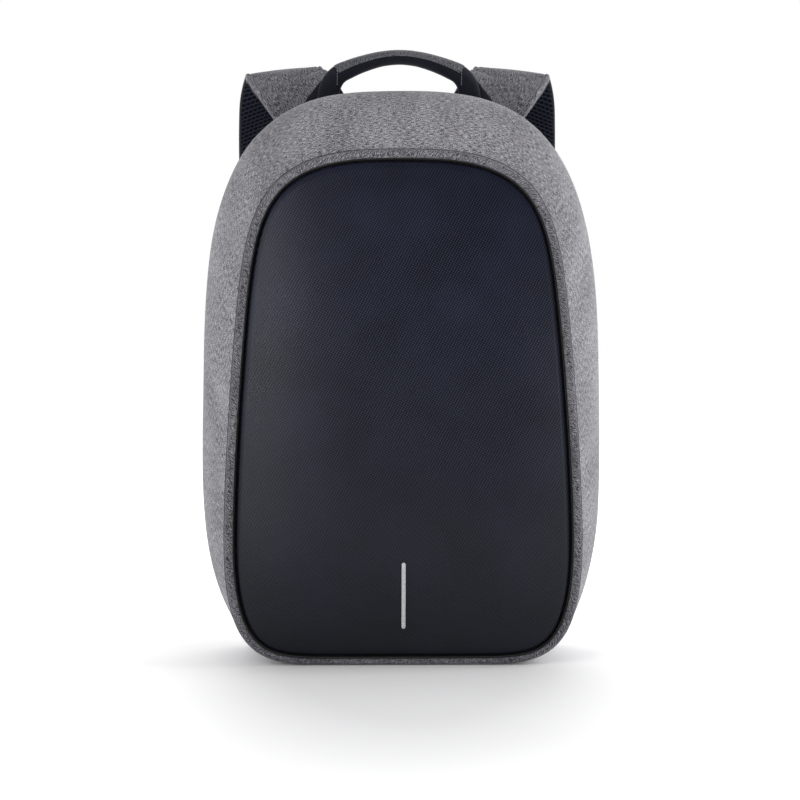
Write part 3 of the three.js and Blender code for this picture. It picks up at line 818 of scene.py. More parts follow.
@dataclass(frozen=True)
class Climb:
    """A value that changes evenly with the height, and is level below and above."""

    low: float  # mm over the floor
    high: float
    start: float
    end: float = 1.0

    def value(self, kit: Recipe) -> Any:
        """The value at each point of a piece."""
        _, _, z = kit.add("SeparateXYZ", (kit.object_mm(),), out=None)
        return kit.add("MapRange", (z, self.low, self.high, self.start, self.end))


class Finish(Protocol):
    """What every finish has: the name of its material, and the material itself."""

    @property
    def name(self) -> str:
        """Name of the material."""

    def material(self) -> bpy.types.Material:
        """The material, made anew."""


@dataclass(frozen=True)
class MelangeWeave:
    """Polyester melange, woven from light and dark fibres: fine grey flecks, no shine."""

    name: str = "melange polyester, woven"
    dark: str = "#38373c"
    middle: str = "#77767b"
    light: str = "#b3b2b7"
    fleck: float = 0.62  # mm; the fibres are finer, drawn as coarse as the render can show
    stretch: float = 6.0  # length of the long flecks, in flecks
    spread: float = 0.078  # how far from the middle of the noise the darkest and lightest flecks lie
    weave: float = 1.3  # mm between threads, real ones about 0.6
    relief: float = 0.05  # mm
    slant_deg: float = 0.0  # turn of the flecks against the piece's own length
    wear: Climb = Climb(1.0, 20.0, 0.4)  # painted shade, darker next to the floor

    def material(self) -> bpy.types.Material:
        """Flecks from two stretched noises through a grey ramp, and a fine plain weave as bump.

        Returns:
            The finished material.
        """
        kit = Recipe(bpy.data.materials.new(self.name))
        cloth = kit.cloth_mm(self.slant_deg)
        long = kit.grain(cloth, (self.fleck * self.stretch, self.fleck * 0.8), 1.0)
        short = kit.grain(cloth, (self.fleck * 1.1, self.fleck * 1.1), 1.0)
        flecks = kit.blend(long, 0.5, short)
        cloud = kit.add("Math", (kit.grain(cloth, (34.0, 46.0)), 0.1, -0.05), operation="MULTIPLY_ADD")
        colour = kit.add(
            "ValToRGB",
            (kit.add("Math", (flecks, cloud), operation="ADD"),),
            stops=((0.5 - self.spread, self.dark), (0.5, self.middle), (0.5 + self.spread, self.light)),
        )
        height = kit.blend(flecks, 0.6, kit.lattice(cloth, self.weave, self.weave))
        # the wear climb scales the colour with the height: painted shade
        return kit.finish(
            kit.shaded(colour, self.wear), height, self.relief,
            Roughness=0.92, Sheen_Weight=0.12, Sheen_Roughness=0.5, Specular_IOR_Level=0.2,
        )


@dataclass(frozen=True)
class PanelSkin:
    """Coated cloth moulded over a stiff board: near-black navy, a fine slanting emboss, a soft sheen."""

    name: str = "coated polyester, moulded"
    ground: str = "#020306"
    raised: str = "#2e3247"
    pitch: float = 1.95  # mm between the raised dots; real ones are finer, drawn so that they show
    squash: float = 0.85  # pitch along the slant, as a share of the pitch across it
    slant_deg: float = 28.0
    relief: float = 0.05  # mm
    wear: Climb = Climb(20.0, 240.0, 0.42)  # painted shade, darker toward the floor
    polish: Climb = Climb(20.0, 240.0, 0.42, 0.3)  # roughness, duller toward the floor

    def material(self) -> bpy.types.Material:
        """Rows of small dots on a slanting lattice, lighter on top, over a faint cloud, with painted shade
        that darkens the colour toward the floor.

        Returns:
            The finished material.
        """
        kit = Recipe(bpy.data.materials.new(self.name))
        dots = kit.lattice(kit.cloth_mm(self.slant_deg), self.pitch, self.pitch * self.squash)
        cloud = kit.add("TexNoise", {"Vector": kit.object_mm(), "Scale": 0.02, "Detail": 2.0})
        colour = kit.add(
            "ValToRGB", (kit.blend(dots, 0.7, cloud),), stops=((0.1, self.ground), (0.75, self.raised))
        )
        return kit.finish(
            kit.shaded(colour, self.wear), dots, self.relief,
            Roughness=self.polish.value(kit), Specular_IOR_Level=0.25, IOR=1.46,
        )


@dataclass(frozen=True)
class RibbedWebbing:
    """Nylon webbing, woven with ribs across it: dark grey, a dull thread sheen."""

    name: str = "nylon webbing, ribbed"
    dark: str = "#16171c"
    light: str = "#2b2c33"
    rib: float = 1.5  # mm; real ribs are about 1.2
    relief: float = 0.18  # mm
    sheen: float = 0.15
    shine: float = 0.3

    def material(self) -> bpy.types.Material:
        """Ribs from a sine along the run, broken by a finer sine that slants across it.

        Returns:
            The finished material.
        """
        kit = Recipe(bpy.data.materials.new(self.name))
        cloth = kit.cloth_mm()
        u, v, _ = kit.add("SeparateXYZ", (cloth,), out=None)
        thread = kit.wave(kit.add("Math", (v, 0.5, u), operation="MULTIPLY_ADD"), self.rib * 0.9)
        height = kit.blend(kit.wave(v, self.rib), 0.65, thread)
        value = kit.blend(height, 0.6, kit.grain(cloth, (1.2, 3.0)))
        colour = kit.add("ValToRGB", (value,), stops=((0.2, self.dark), (0.8, self.light)))
        return kit.finish(
            colour,
            height,
            self.relief,
            Roughness=0.72,
            Sheen_Weight=self.sheen,
            Specular_IOR_Level=self.shine,
        )


@dataclass(frozen=True)
class AirMesh:
    """Polyester spacer mesh, knitted with rows of oval holes: black, matt, open."""

    name: str = "polyester air mesh, knitted"
    net: str = "#343b50"
    hole: str = "#020204"
    across: float = 3.6  # mm between holes in a row
    along: float = 2.8  # mm between rows
    squash: float = 1.5  # how much flatter than round a hole is
    steep: float = 1.18  # rise of the strand's height with the distance from a hole
    slant_deg: float = -24.0  # the rows climb away from the edge
    relief: float = 0.7  # mm

    def material(self) -> bpy.types.Material:
        """Ovals on staggered rows: dark where the distance from the nearest hole centre is small.

        Returns:
            The finished material.
        """
        kit = Recipe(bpy.data.materials.new(self.name))
        u, v, _ = kit.add("SeparateXYZ", (kit.cloth_mm(self.slant_deg),), out=None)
        row = kit.add("Math", (v, self.along), operation="DIVIDE")
        odd = kit.add("Math", (kit.add("Math", (row,), operation="FLOOR"), 2.0), operation="MODULO")
        column = kit.add("Math", (u, self.across), operation="DIVIDE")
        column = kit.add("Math", (odd, 0.5, column), operation="MULTIPLY_ADD")
        x, y = (
            kit.add("Math", (kit.add("Math", (way,), operation="FRACT"), 0.5), operation="SUBTRACT")
            for way in (column, row)
        )
        flat = kit.add("Math", (y, y), operation="MULTIPLY")
        flat = kit.add("Math", (flat, self.squash), operation="MULTIPLY")
        square = kit.add("Math", (x, x, flat), operation="MULTIPLY_ADD")
        away = kit.add("Math", (square,), operation="SQRT")
        away = kit.add("Math", (away, self.steep), operation="MULTIPLY")
        strands = kit.add("Math", (away, 1.0, 0.3), operation="SMOOTH_MIN")
        yarn = kit.add("TexNoise", {"Vector": kit.cloth_mm(), "Scale": 1.4, "Detail": 2.0})
        bright = kit.add("Math", (yarn, 0.5, 0.7), operation="MULTIPLY_ADD")
        value = kit.add("Math", (strands, bright), operation="MULTIPLY")
        colour = kit.add("ValToRGB", (value,), stops=((0.42, self.hole), (0.95, self.net)))
        return kit.finish(
            colour, strands, self.relief, Roughness=0.85, Sheen_Weight=0.05, Specular_IOR_Level=0.12
        )


@dataclass(frozen=True)
class PlainCloth:
    """Dyed polyester cloth, plain woven: dark, matt, with a fine thread grid."""

    name: str
    dark: str
    light: str
    thread: float = 1.1  # mm; real threads are about 0.4
    relief: float = 0.12  # mm
    rough: float = 0.85

    def material(self) -> bpy.types.Material:
        """A thread grid from two sines, slightly clouded.

        Returns:
            The finished material.
        """
        kit = Recipe(bpy.data.materials.new(self.name))
        cloth = kit.cloth_mm()
        threads = kit.lattice(cloth, self.thread, self.thread)
        cloud = kit.add("TexNoise", {"Vector": cloth, "Scale": 0.25, "Detail": 3.0})
        colour = kit.add(
            "ValToRGB", (kit.blend(threads, 0.5, cloud),), stops=((0.2, self.dark), (0.75, self.light))
        )
        return kit.finish(
            colour, threads, self.relief, Roughness=self.rough, Sheen_Weight=0.1, Specular_IOR_Level=0.3
        )


@dataclass(frozen=True)
class MouldedPlastic:
    """Acetal, injection moulded: near black, satin, with a faint spark texture."""

    name: str = "acetal, moulded"
    dark: str = "#17181c"
    light: str = "#202126"
    spark: float = 1.6  # grains in a millimetre

    def material(self) -> bpy.types.Material:
        """A fine grain of noise on object coordinates, as colour and bump.

        Returns:
            The finished material.
        """
        kit = Recipe(bpy.data.materials.new(self.name))
        place = {"Vector": kit.object_mm(), "Scale": self.spark, "Detail": 3.0, "Roughness": 0.6}
        grain = kit.add("TexNoise", place)
        colour = kit.add("ValToRGB", (grain,), stops=((0.3, self.dark), (0.7, self.light)))
        return kit.finish(colour, grain, 0.03, Roughness=0.42, Specular_IOR_Level=0.45, IOR=1.48)


@dataclass(frozen=True)
class ReflectiveFilm:
    """Reflective film, heat sealed: light grey with tiny glass beads."""

    name: str = "reflective film, heat sealed"
    dark: str = "#97989c"
    light: str = "#cbccd0"
    beads: float = 2.2  # in a millimetre; real ones are finer

    def material(self) -> bpy.types.Material:
        """Bead grain from fine noise, a little metallic.

        Returns:
            The finished material.
        """
        kit = Recipe(bpy.data.materials.new(self.name))
        grain = kit.add("TexNoise", {"Vector": kit.object_mm(), "Scale": self.beads, "Detail": 2.0})
        colour = kit.add("ValToRGB", (grain,), stops=((0.35, self.dark), (0.65, self.light)))
        return kit.finish(colour, grain, 0.03, Roughness=0.4, Metallic=0.25)


@dataclass(frozen=True)
class SewingThread:
    """Polyester sewing thread, twisted: one colour, dull sheen."""

    name: str
    dark: str
    light: str
    twist: float = 2.5  # strands in a millimetre

    def material(self) -> bpy.types.Material:
        """The twist, drawn as a noise.

        Returns:
            The finished material.
        """
        kit = Recipe(bpy.data.materials.new(self.name))
        grain = kit.add("TexNoise", {"Vector": kit.object_mm(), "Scale": self.twist, "Detail": 1.0})
        colour = kit.add("ValToRGB", (grain,), stops=((0.35, self.dark), (0.65, self.light)))
        return kit.finish(colour, grain, 0.05, Roughness=0.6, Sheen_Weight=0.2)


@dataclass(frozen=True)
class StudioFloor:
    """A plain pale floor, sanded matt, whose painted glow is weaker round the bag as a painted shadow."""

    name: str = "pale floor, painted glow and shadow"
    colour: str = "#f4f4f5"
    lighter: str = "#f8f8f9"
    oval: tuple[float, float] = (0.45, 1.6)  # stretch of the painted shadow round the bag
    near: float = 200.0  # mm; inside it the painted glow is weak, a painted shadow
    far: float = 900.0
    weak: float = 0.04
    strong: float = 0.55

    def material(self) -> bpy.types.Material:
        """One pale colour with a very faint cloud; the painted glow grows with the distance from the bag,
        leaving a painted shadow round it.

        Returns:
            The finished material.
        """
        kit = Recipe(bpy.data.materials.new(self.name))
        place = kit.object_mm()
        cloud = kit.add("TexNoise", {"Vector": place, "Scale": 0.004, "Detail": 2.0})
        colour = kit.add("ValToRGB", (cloud,), stops=((0.3, self.colour), (0.7, self.lighter)))
        size = (1 / self.oval[0], 1 / self.oval[1], 1.0)
        oval = kit.add("VectorMath", (place, size), operation="MULTIPLY")
        away = kit.add("VectorMath", (oval,), out="Value", operation="LENGTH")
        # painted light: the floor glows, weakly round the bag as a painted shadow
        glow = kit.add("MapRange", (away, self.near, self.far, self.weak, self.strong))
        return kit.finish(colour, Roughness=0.6, Emission_Color=linear("#ffffff"), Emission_Strength=glow)


@dataclass
class Wardrobe:
    """Every finish of the bag, made once."""

    body: MelangeWeave = MelangeWeave()
    # painted shade: below 320 mm, on the roll's sides and bottom, the wear climb darkens its colour
    rim: MelangeWeave = MelangeWeave(
        name="melange polyester, woven, rolled", dark="#1d1c21", middle="#59585e", light="#a09fa5",
        slant_deg=52.0, relief=0.08, wear=Climb(320.0, 415.0, 0.68),
    )
    # painted shade: the strap's colours are darker than the body cloth, standing for the shade on its face
    strap: MelangeWeave = MelangeWeave(
        name="melange polyester, woven, strap", dark="#222126", middle="#57565c", light="#8f8e94",
        spread=0.06, slant_deg=90.0,
    )
    edging: MelangeWeave = MelangeWeave(
        name="melange polyester, woven, edging", dark="#7a797f", middle="#a09fa4", light="#c6c5ca",
    )
    cover: MelangeWeave = MelangeWeave(
        name="melange polyester, woven, handle cover", dark="#26262b", middle="#4b4b51", light="#74747a",
    )
    panel: PanelSkin = PanelSkin()
    webbing: RibbedWebbing = RibbedWebbing()
    handle: RibbedWebbing = RibbedWebbing(
        name="nylon webbing, ribbed, handle", dark="#090b12", light="#171a26",
        rib=1.7, relief=0.06, sheen=0.04, shine=0.16,
    )
    mesh: AirMesh = AirMesh()
    patch: PlainCloth = PlainCloth("polyester cloth, plain woven, patch", "#07080c", "#1b1d25", 1.4, 0.2)
    padding: PlainCloth = PlainCloth("polyester cloth, plain woven, padding", "#0c0e13", "#1b1e26", 1.6, 0.18)
    tape: PlainCloth = PlainCloth("polyester tape, woven", "#101116", "#1e1f26", 1.2, 0.1, 0.7)
    binding: PlainCloth = PlainCloth("polyester binding, woven", "#0b0c11", "#191b22", 0.9, 0.05, 0.6)
    # painted shade: the seam tape is near black to stand for the shade in the groove beside the panel
    seam: PlainCloth = PlainCloth("polyester seam tape, woven", "#020204", "#07080b", 0.9, 0.03, 0.95)
    plastic: MouldedPlastic = MouldedPlastic()
    film: ReflectiveFilm = ReflectiveFilm()
    grey_thread: SewingThread = SewingThread("sewing thread, grey", "#55545a", "#77767b")
    dark_thread: SewingThread = SewingThread("sewing thread, dark", "#1c1d22", "#33343b")
    made: dict[str, bpy.types.Material] = field(default_factory=dict)

    def wear(self, piece: bpy.types.Object, finish: Finish) -> None:
        """Puts a finish on a piece as its only material.

        Args:
            piece: The piece.
            finish: Its finish.
        """
        if finish.name not in self.made:
            self.made[finish.name] = finish.material()
        piece.data.materials.clear()
        piece.data.materials.append(self.made[finish.name])

    def dress(
        self,
        piece: bpy.types.Object,
        finish: Finish,
        nodes: Sequence[str] = (),
    ) -> None:
        """Args:
            piece: The piece, with its final shape.
            finish: Its finish.
            nodes: The CAD nodes that it replaces.
        """
        self.wear(piece, finish)
        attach(piece, "root")
        if nodes:
            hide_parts(*nodes)
        LOG.info("piece %s: %d faces", piece.name, len(piece.data.polygons))


# The bag


@dataclass
class BodyForm:
    """Outlines and depths that every piece of the body shares."""

    height: float = 439.6
    front_reach: float = 80.0  # depth in front of the origin, at the floor
    back_reach: float = 70.0  # depth behind it
    front_lean: float = 62.8  # how far the front leans back on its way up
    toe_tuck: float = 10.0  # how far the front draws back at the floor
    toe_height: float = 120.0
    panel_top_drop: float = 54.2  # top of the bag to the top of the panel
    rim_side: float = 7.0  # width of the roll
    rim_top: float = 7.2
    rim_bottom: float = 5.3
    rim_depth: float = 7.7
    rear_drop: float = 11.6  # top of the bag to the top of the back
    pad_rise: float = 6.0  # height of the padded back over the back edge
    floor_cut: float = 1.2  # how far the widest outline would reach under the flat base
    gap: float = 0.3  # between neighbours
    count: int = 320  # points round each outline

    def __post_init__(self) -> None:
        """Works out the three outlines."""
        panel_top = self.height - self.panel_top_drop
        front = OutlineForm(
            width=257.5, bottom=self.rim_bottom, top=panel_top, wide=0.247, taper=0.157,
            up_z=10.3, up_x=2.86, low_z=2.49, low_x=8.04,
        )
        belly = OutlineForm(
            width=309.0, bottom=-self.floor_cut, top=self.height, wide=0.365, taper=0.0,
            up_z=3.77, up_x=2.94, low_z=2.55, low_x=4.98,
        )
        rear = OutlineForm(
            width=292.0, bottom=-self.floor_cut, top=self.height - self.rear_drop, wide=0.36, taper=0.02,
            up_z=3.9, up_x=3.0, low_z=2.9, low_x=4.6,
        )
        self.panel_middle = (self.rim_bottom + panel_top) / 2
        self.front, self.belly, self.rear = (form.ring(self.count) for form in (front, belly, rear))

    def crest(self, z: Array) -> Array:
        """Depth of the crest of the front edge: it leans back with the square of the height."""
        toe = np.maximum(1 - z / self.toe_height, 0.0)
        return -self.front_reach + self.front_lean * (z / self.height) ** 2 + self.toe_tuck * toe**2

    def roll_width(self) -> Array:
        """Width of the roll round the front opening, from its side, top and bottom widths.

        Returns:
            The width at each point of the front line.
        """
        up, down = np.maximum(self.front.nz, 0) ** 2, np.maximum(-self.front.nz, 0) ** 2
        top, bottom = self.rim_top - self.rim_side, self.rim_bottom - self.rim_side
        return self.rim_side + top * up + bottom * down

    def beside_front(self, out: Any, back: Any) -> Array:
        """Points beside the front line, back from the crest at their own level."""
        return self.front.beside(out, self.crest(self.front.z) + back)


@dataclass
class Shell:
    """The hollow grey body between the front opening and the back edge."""

    form: BodyForm
    wall: float = 2.5
    wall_trim: float = 0.2  # the cloth is thinner by this than the wall that it stands for
    flange: float = 8.0  # width of the hem under the panel
    crease: float = 0.6  # depth of the line between roll and shell
    rear_round: float = 12.0
    rear_flange: float = 6.0
    slack: tuple[float, float, float] = (0.30, 0.25, 0.15)  # heights of the waves in the cloth
    swell_rows: int = 30
    fall_rows: int = 20
    round_rows: int = 9

    def _sections(self) -> Array:
        """Rows of points from the front flange over the widest section to the back flange.

        The side wall swells from the crease to the widest outline as a quarter sine over its
        depth, falls to the back outline as one less a cosine, and ends in a quarter round.

        Returns:
            The points, as rows by points round the body by three.
        """
        form = self.form
        roll, back = form.roll_width(), form.rim_depth + form.gap
        start = form.beside_front(roll, back + self.crease)
        wide_depth = (form.crest(form.belly.z) + form.back_reach) / 2
        widest = np.stack([form.belly.x, wide_depth, form.belly.z], axis=-1)
        rows = [
            form.beside_front(-self.flange, back),
            form.beside_front(-self.flange / 2, back),
            form.beside_front(roll - 3 * self.crease, back),
            form.beside_front(roll - 0.8 * self.crease, back),
            form.beside_front(roll - 0.2 * self.crease, back + 0.25 * self.crease),
        ]
        for f in np.linspace(0.0, 1.0, self.swell_rows) ** 1.25:
            swell = math.sin(math.pi / 2 * f)
            row = mix(start, widest, swell)
            row[:, 1] = mix(start[:, 1], widest[:, 1], f)
            rows.append(row)
        rear = np.stack([form.rear.x, np.zeros(form.count), form.rear.z], axis=-1)
        inset = np.linalg.norm((rear - widest)[:, [0, 2]], axis=1)
        lean = np.arctan(math.pi / 2 * inset / (form.back_reach - self.rear_round - wide_depth))
        turn = form.back_reach - self.rear_round * (1 - np.sin(lean))
        for g in np.linspace(0.0, 1.0, self.fall_rows)[1:]:
            row = mix(widest, rear, 1 - math.cos(math.pi / 2 * g))
            row[:, 1] = mix(wide_depth, turn, g)
            rows.append(row)
        for part in np.linspace(0.0, 1.0, self.round_rows)[1:]:
            angle = mix(lean, math.pi / 2, part)
            inward = self.rear_round * (np.cos(lean) - np.cos(angle))
            back = self.rear_round * (np.sin(angle) - np.sin(lean))
            rows.append(form.rear.beside(-inward, turn + back))
        for extra in (0.5, 1.0):
            rows.append(form.rear.beside(-self.rear_round - self.rear_flange * extra, form.back_reach))
        return np.stack(rows)

    def _cloth(self, grid: Array) -> Array:
        """The sections with the slack of real cloth.

        Each point moves along its normal by low waves of the distance round and the depth, which
        fade at the crease, at the back flange and at the floor.

        Args:
            grid: The sections.

        Returns:
            The moved sections.
        """
        along = np.gradient(grid, axis=0)
        around = np.roll(grid, -1, axis=1) - np.roll(grid, 1, axis=1)
        normal = unit(np.cross(around, along))
        middle = np.array([0.0, 0.0, self.form.height / 2])
        if np.mean(np.sum(normal * (grid - middle), axis=-1)) < 0:
            normal = -normal
        x, y, z = grid[..., 0], grid[..., 1], grid[..., 2]
        over_top, up_side, fine = self.slack
        wave = (
            over_top * np.sin(x / 31.0 + 0.9) * np.sin(y / 19.0 + z / 55.0)
            + up_side * np.sin(z / 38.0 + 1.7) * np.sin(y / 24.0 - 0.6)
            + fine * np.sin(x / 13.0 + z / 17.0) * np.sin(y / 11.0)
        )
        row = np.linspace(0.0, 1.0, grid.shape[0])[:, None]
        fade = ease((row - 0.12) / 0.18) * ease((0.84 - row) / 0.12) * ease(z / 30.0)
        return grid + normal * (wave * fade)[..., None]

    def build(self, wardrobe: Wardrobe) -> None:
        """Makes the shell as one wall with its thickness inside.

        Args:
            wardrobe: The finishes.
        """
        grid = self._cloth(self._sections())
        piece = surface("shell_cloth", grid, sharp_deg=60.0)
        add_modifier(piece, "SOLIDIFY", thickness=(self.wall - self.wall_trim) * MM, offset=-1.0)
        apply_modifiers(piece)
        wardrobe.dress(piece, wardrobe.body, ["shell"])


@dataclass
class FrontOpening:
    """The padded roll and the dark panel inside it, with its light bar."""

    form: BodyForm
    reveal: float = 2.3  # groove between roll and panel
    sink: float = 2.4  # how far the panel's edge lies behind the crest of the roll
    crown: float = 8.0  # how far its middle stands proud of its edge
    dome: float = 2.6  # power of the crown's fall; a high one keeps the middle flat
    skin: float = 3.5
    edge: float = 2.4  # radius of the panel's rounded edge
    cord: float = 0.45  # radius of the seam cord
    inner_steep: float = 0.3  # powers of the roll's rise, on the panel's side and on the shell's
    outer_steep: float = 0.62
    roll_rows: int = 34

    def _roll(self) -> Array:
        """Rows round the roll: an arch over a flat seat.

        Height over the seat is the depth times the sine of the half turn to a power, which is
        lower on the inner side, so that it stands steep.

        Returns:
            The points, as rows by points round the opening by three.
        """
        turn = np.linspace(0.0, math.pi, self.roll_rows)
        across = 0.5 - 0.5 * np.cos(turn)
        power = np.where(turn < math.pi / 2, self.inner_steep, self.outer_steep)
        height = np.maximum(np.sin(turn), 0.0) ** power
        width = self.form.roll_width()
        rows = [
            self.form.beside_front(width * (0.02 + 0.96 * a), self.form.rim_depth * (1 - h))
            for a, h in zip(across, height)
        ]
        rows.append(self.form.beside_front(width * 0.75, self.form.rim_depth))
        rows.append(self.form.beside_front(width * 0.25, self.form.rim_depth))
        return np.stack(rows)

    def _seam(self) -> Array:
        """Rows round the black seam tape: an L that lines the groove beside the panel; its black is painted
        shade of the groove.

        Returns:
            The points, as rows by points round the opening by three.
        """
        seat = self.form.rim_depth
        profile = (
            (0.05, 1.6), (0.05, seat), (-self.reveal + 0.15, seat), (-self.reveal + 0.15, seat - 1.4),
            (-0.5, seat - 1.4), (-0.5, 2.2), (-0.25, 1.6),
        )
        return np.stack([self.form.beside_front(out, back) for out, back in profile])

    def _crease(self) -> Array:
        """Rows round the seam cord that lies in the crease between roll and shell; dark, it is partly a real
        seam and partly painted shade of the crease.

        Returns:
            The points, as rows by points round the opening by three.
        """
        out, back = self.form.roll_width() + 0.1, self.form.rim_depth + 0.1
        return np.stack([
            self.form.beside_front(out + self.cord * math.cos(a), back + self.cord * math.sin(a))
            for a in np.linspace(0.0, 2 * math.pi, 8, endpoint=False)
        ])

    def _face(self, share: float, back: float) -> Array:
        """A row of the panel at a share of the way to its edge.

        The face is a dome: it stands proud by the crown times one less the share to a power.

        Args:
            share: Share of the way from the middle to the edge.
            back: How far the row lies behind the face.

        Returns:
            The row of points.
        """
        edge = self.form.beside_front(-self.reveal, 0.0)
        middle = self.form.panel_middle
        level = mix(middle, self.form.front.z, share)
        lift = self.crown * (1 - share**self.dome)
        depth = self.form.crest(level) + self.sink - lift + back
        return np.stack([edge[:, 0] * share, depth, mix(middle, edge[:, 2], share)], axis=-1)

    def _panel(self) -> tuple[Array, Array]:
        """Rows of the panel from the middle of its face round its edge to the middle inside.

        Returns:
            The points, and their cloth coordinates: side and height.
        """
        shares = np.concatenate([[0.02, 0.06], np.linspace(0.12, 0.94, 26), [0.955, 0.968, 0.978]])
        rows = [self._face(s, 0.0) for s in shares]
        beside, seat = self.form.beside_front, self.form.rim_depth
        for turn in np.linspace(0.0, math.pi / 2, 7)[1:]:
            inward = self.edge * (1 - math.sin(turn))
            row = self._face(1.0, self.edge * (1 - math.cos(turn)) + 0.15)
            rows.append(row + beside(-self.reveal - inward, 0.0) - beside(-self.reveal, 0.0))
        rows.append(beside(-self.reveal, seat - 0.8))
        rows.append(beside(-self.reveal - 0.3, seat))
        rows.append(beside(-self.reveal - self.skin / 2, seat))
        rows += [self._face(s, self.skin) for s in (0.95, 0.8, 0.55, 0.3, 0.06, 0.02)]
        grid = np.stack(rows)
        flat = np.concatenate([grid, grid[:, :1]], axis=1)
        return grid, flat[..., [0, 2]].copy()

    def build(self, wardrobe: Wardrobe, nodes: Mapping[str, bpy.types.Object]) -> None:
        """Makes the roll and the panel, and dresses the light bar.

        Args:
            wardrobe: The finishes.
            nodes: The CAD nodes by name.
        """
        roll = surface("rim_roll", self._roll(), wrap_rows=True, sharp_deg=70.0)
        wardrobe.dress(roll, wardrobe.rim, ["front_rim"])
        seam = surface("panel_seam_shade", self._seam(), wrap_rows=True)
        wardrobe.dress(seam, wardrobe.seam)
        # the dark cord is partly a real seam and partly painted shade in the crease
        crease = surface("rim_seam_shade", self._crease(), wrap_rows=True)
        wardrobe.dress(crease, wardrobe.dark_thread)
        grid, uv = self._panel()
        panel = surface("panel_skin", grid, uv, caps=True, sharp_deg=60.0)
        wardrobe.dress(panel, wardrobe.panel, ["front_panel"])
        strip = rounded_copy(nodes["reflective_strip"], "light_bar", width=0.25)
        wardrobe.dress(strip, wardrobe.film, ["reflective_strip"])


@dataclass
class Back:
    """The padded back and the zip round it."""

    form: BodyForm
    zip_start: float = 18.3  # in from the back outline
    zip_width: float = 8.0
    tape: float = 1.6
    pad_start: float = 26.6  # in from the back outline
    pad_edge: float = 14.0  # width of its rounded edge
    pad_inside: float = 4.0  # how deep it sits in the body
    pad_trim: float = 0.6  # how much smaller it starts than it ends
    pad_cell: float = 3.6  # size of its even cells
    pad_low: float = 12.0  # how far the middle of the pad lies below half the height
    air: float = 2.2  # how much lower the pad starts than it ends, and furthest that a point may move
    pressure: float = 4.0
    frames: int = 20
    tooth: float = 2.6  # from one tooth of the zip to the next
    tooth_wide: float = 1.35
    tooth_high: float = 0.75
    tooth_swell: float = 0.22  # how much thicker a tooth is, as a share of the coil

    def _pad(self) -> bpy.types.Object:
        """The pad before it is blown up: a rounded slab a little smaller than the real one.

        Returns:
            The new object.
        """
        form = self.form
        ring, face = form.rear, form.back_reach
        flat = ring.beside(-self.pad_start - self.pad_edge, 0.0)
        middle = np.array([0.0, 0.0, form.height / 2 - self.pad_low])

        def shrunk(share: float, depth: float) -> Array:
            """The flat outline drawn in toward the middle.

            Args:
                share: Share of its own size that is left.
                depth: Depth of the row.

            Returns:
                The row of points.
            """
            row = middle + (flat - middle) * share
            row[:, 1] = depth
            return row

        trim = self.pad_trim
        low, inside = form.pad_rise - self.air, face - self.pad_inside + trim
        rows = [shrunk(s, face + low) for s in (0.04, 0.3, 0.6, 0.85)]
        for share in (1.0, 0.75, 0.5, 0.3, 0.15, 0.05):
            inset = self.pad_start + trim + (self.pad_edge - trim) * share
            rows.append(ring.beside(-inset, face + low * math.sin(math.pi / 2 * share)))
        rows.append(ring.beside(-self.pad_start - trim, face - 1.0))
        rows.append(ring.beside(-self.pad_start - 0.9, inside))
        rows += [shrunk(s, inside) for s in (0.8, 0.4, 0.04)]
        return surface("back_padding", np.stack(rows), caps=True)

    def _blow_up(self, piece: bpy.types.Object) -> None:
        """Remeshes the pad to even cells, smooths it, swells it and subdivides it once.

        Args:
            piece: The pad, changed in place.
        """
        add_modifier(piece, "REMESH", mode="VOXEL", voxel_size=self.pad_cell * MM)
        add_modifier(piece, "SMOOTH", factor=0.5, iterations=8)
        apply_modifiers(piece)
        place = points_of(piece.data)
        place = place + self._swell(piece, place)
        place[:, 1] = np.minimum(place[:, 1], (self.form.back_reach + self.form.pad_rise) * MM)
        piece.data.vertices.foreach_set("co", place.ravel())
        piece.data.update()
        add_modifier(piece, "SUBSURF", levels=1, render_levels=1)
        apply_modifiers(piece)
        mesh = piece.data
        index = np.empty(len(mesh.loops), dtype=np.int32)
        mesh.loops.foreach_get("vertex_index", index)
        lay_cloth(mesh, points_of(mesh)[index][:, [0, 2]] / MM)
        smooth(mesh)

    def _swell(self, piece: bpy.types.Object, start: Array) -> Array:
        """Runs the cloth simulation on the pad, pinned along its inside face and under pressure.

        Args:
            piece: The pad.
            start: Its points before the simulation, in metres.

        Returns:
            How far each point moves, no further than the air allows.
        """
        group = piece.vertex_groups.new(name="held")
        held = np.flatnonzero(start[:, 1] < (self.form.back_reach + 0.5) * MM)
        group.add(held.tolist(), 1.0, "REPLACE")
        cloth = piece.modifiers.new("cloth", "CLOTH")
        cloth.settings.use_pressure = True
        cloth.settings.uniform_pressure_force = self.pressure
        cloth.settings.vertex_group_mass = group.name
        cloth.settings.effector_weights.gravity = 0.0
        cloth.point_cache.frame_start, cloth.point_cache.frame_end = 1, self.frames
        for frame in range(1, self.frames + 1):
            bpy.context.scene.frame_set(frame)
        graph = bpy.context.evaluated_depsgraph_get()
        move = points_of(piece.evaluated_get(graph).to_mesh()) - start
        piece.evaluated_get(graph).to_mesh_clear()
        piece.modifiers.clear()
        bpy.context.scene.frame_set(1)
        far = np.linalg.norm(move, axis=1, keepdims=True)
        return move * np.minimum(1.0, self.air * MM / np.maximum(far, 1e-9))

    def _tape(self) -> Array:
        """Rows round the flat tape of the zip.

        Returns:
            The points, as rows by points round the back by three.
        """
        face = self.form.back_reach - self.form.gap
        profile = (
            (0.0, -self.tape), (0.0, -0.4), (0.25, 0.0), (2.0, 0.0), (2.4, -0.3),
            (5.6, -0.3), (6.0, 0.0), (7.75, 0.0), (8.0, -0.4), (8.0, -self.tape),
        )
        return np.stack([self.form.rear.beside(-self.zip_start - a, face + h) for a, h in profile])

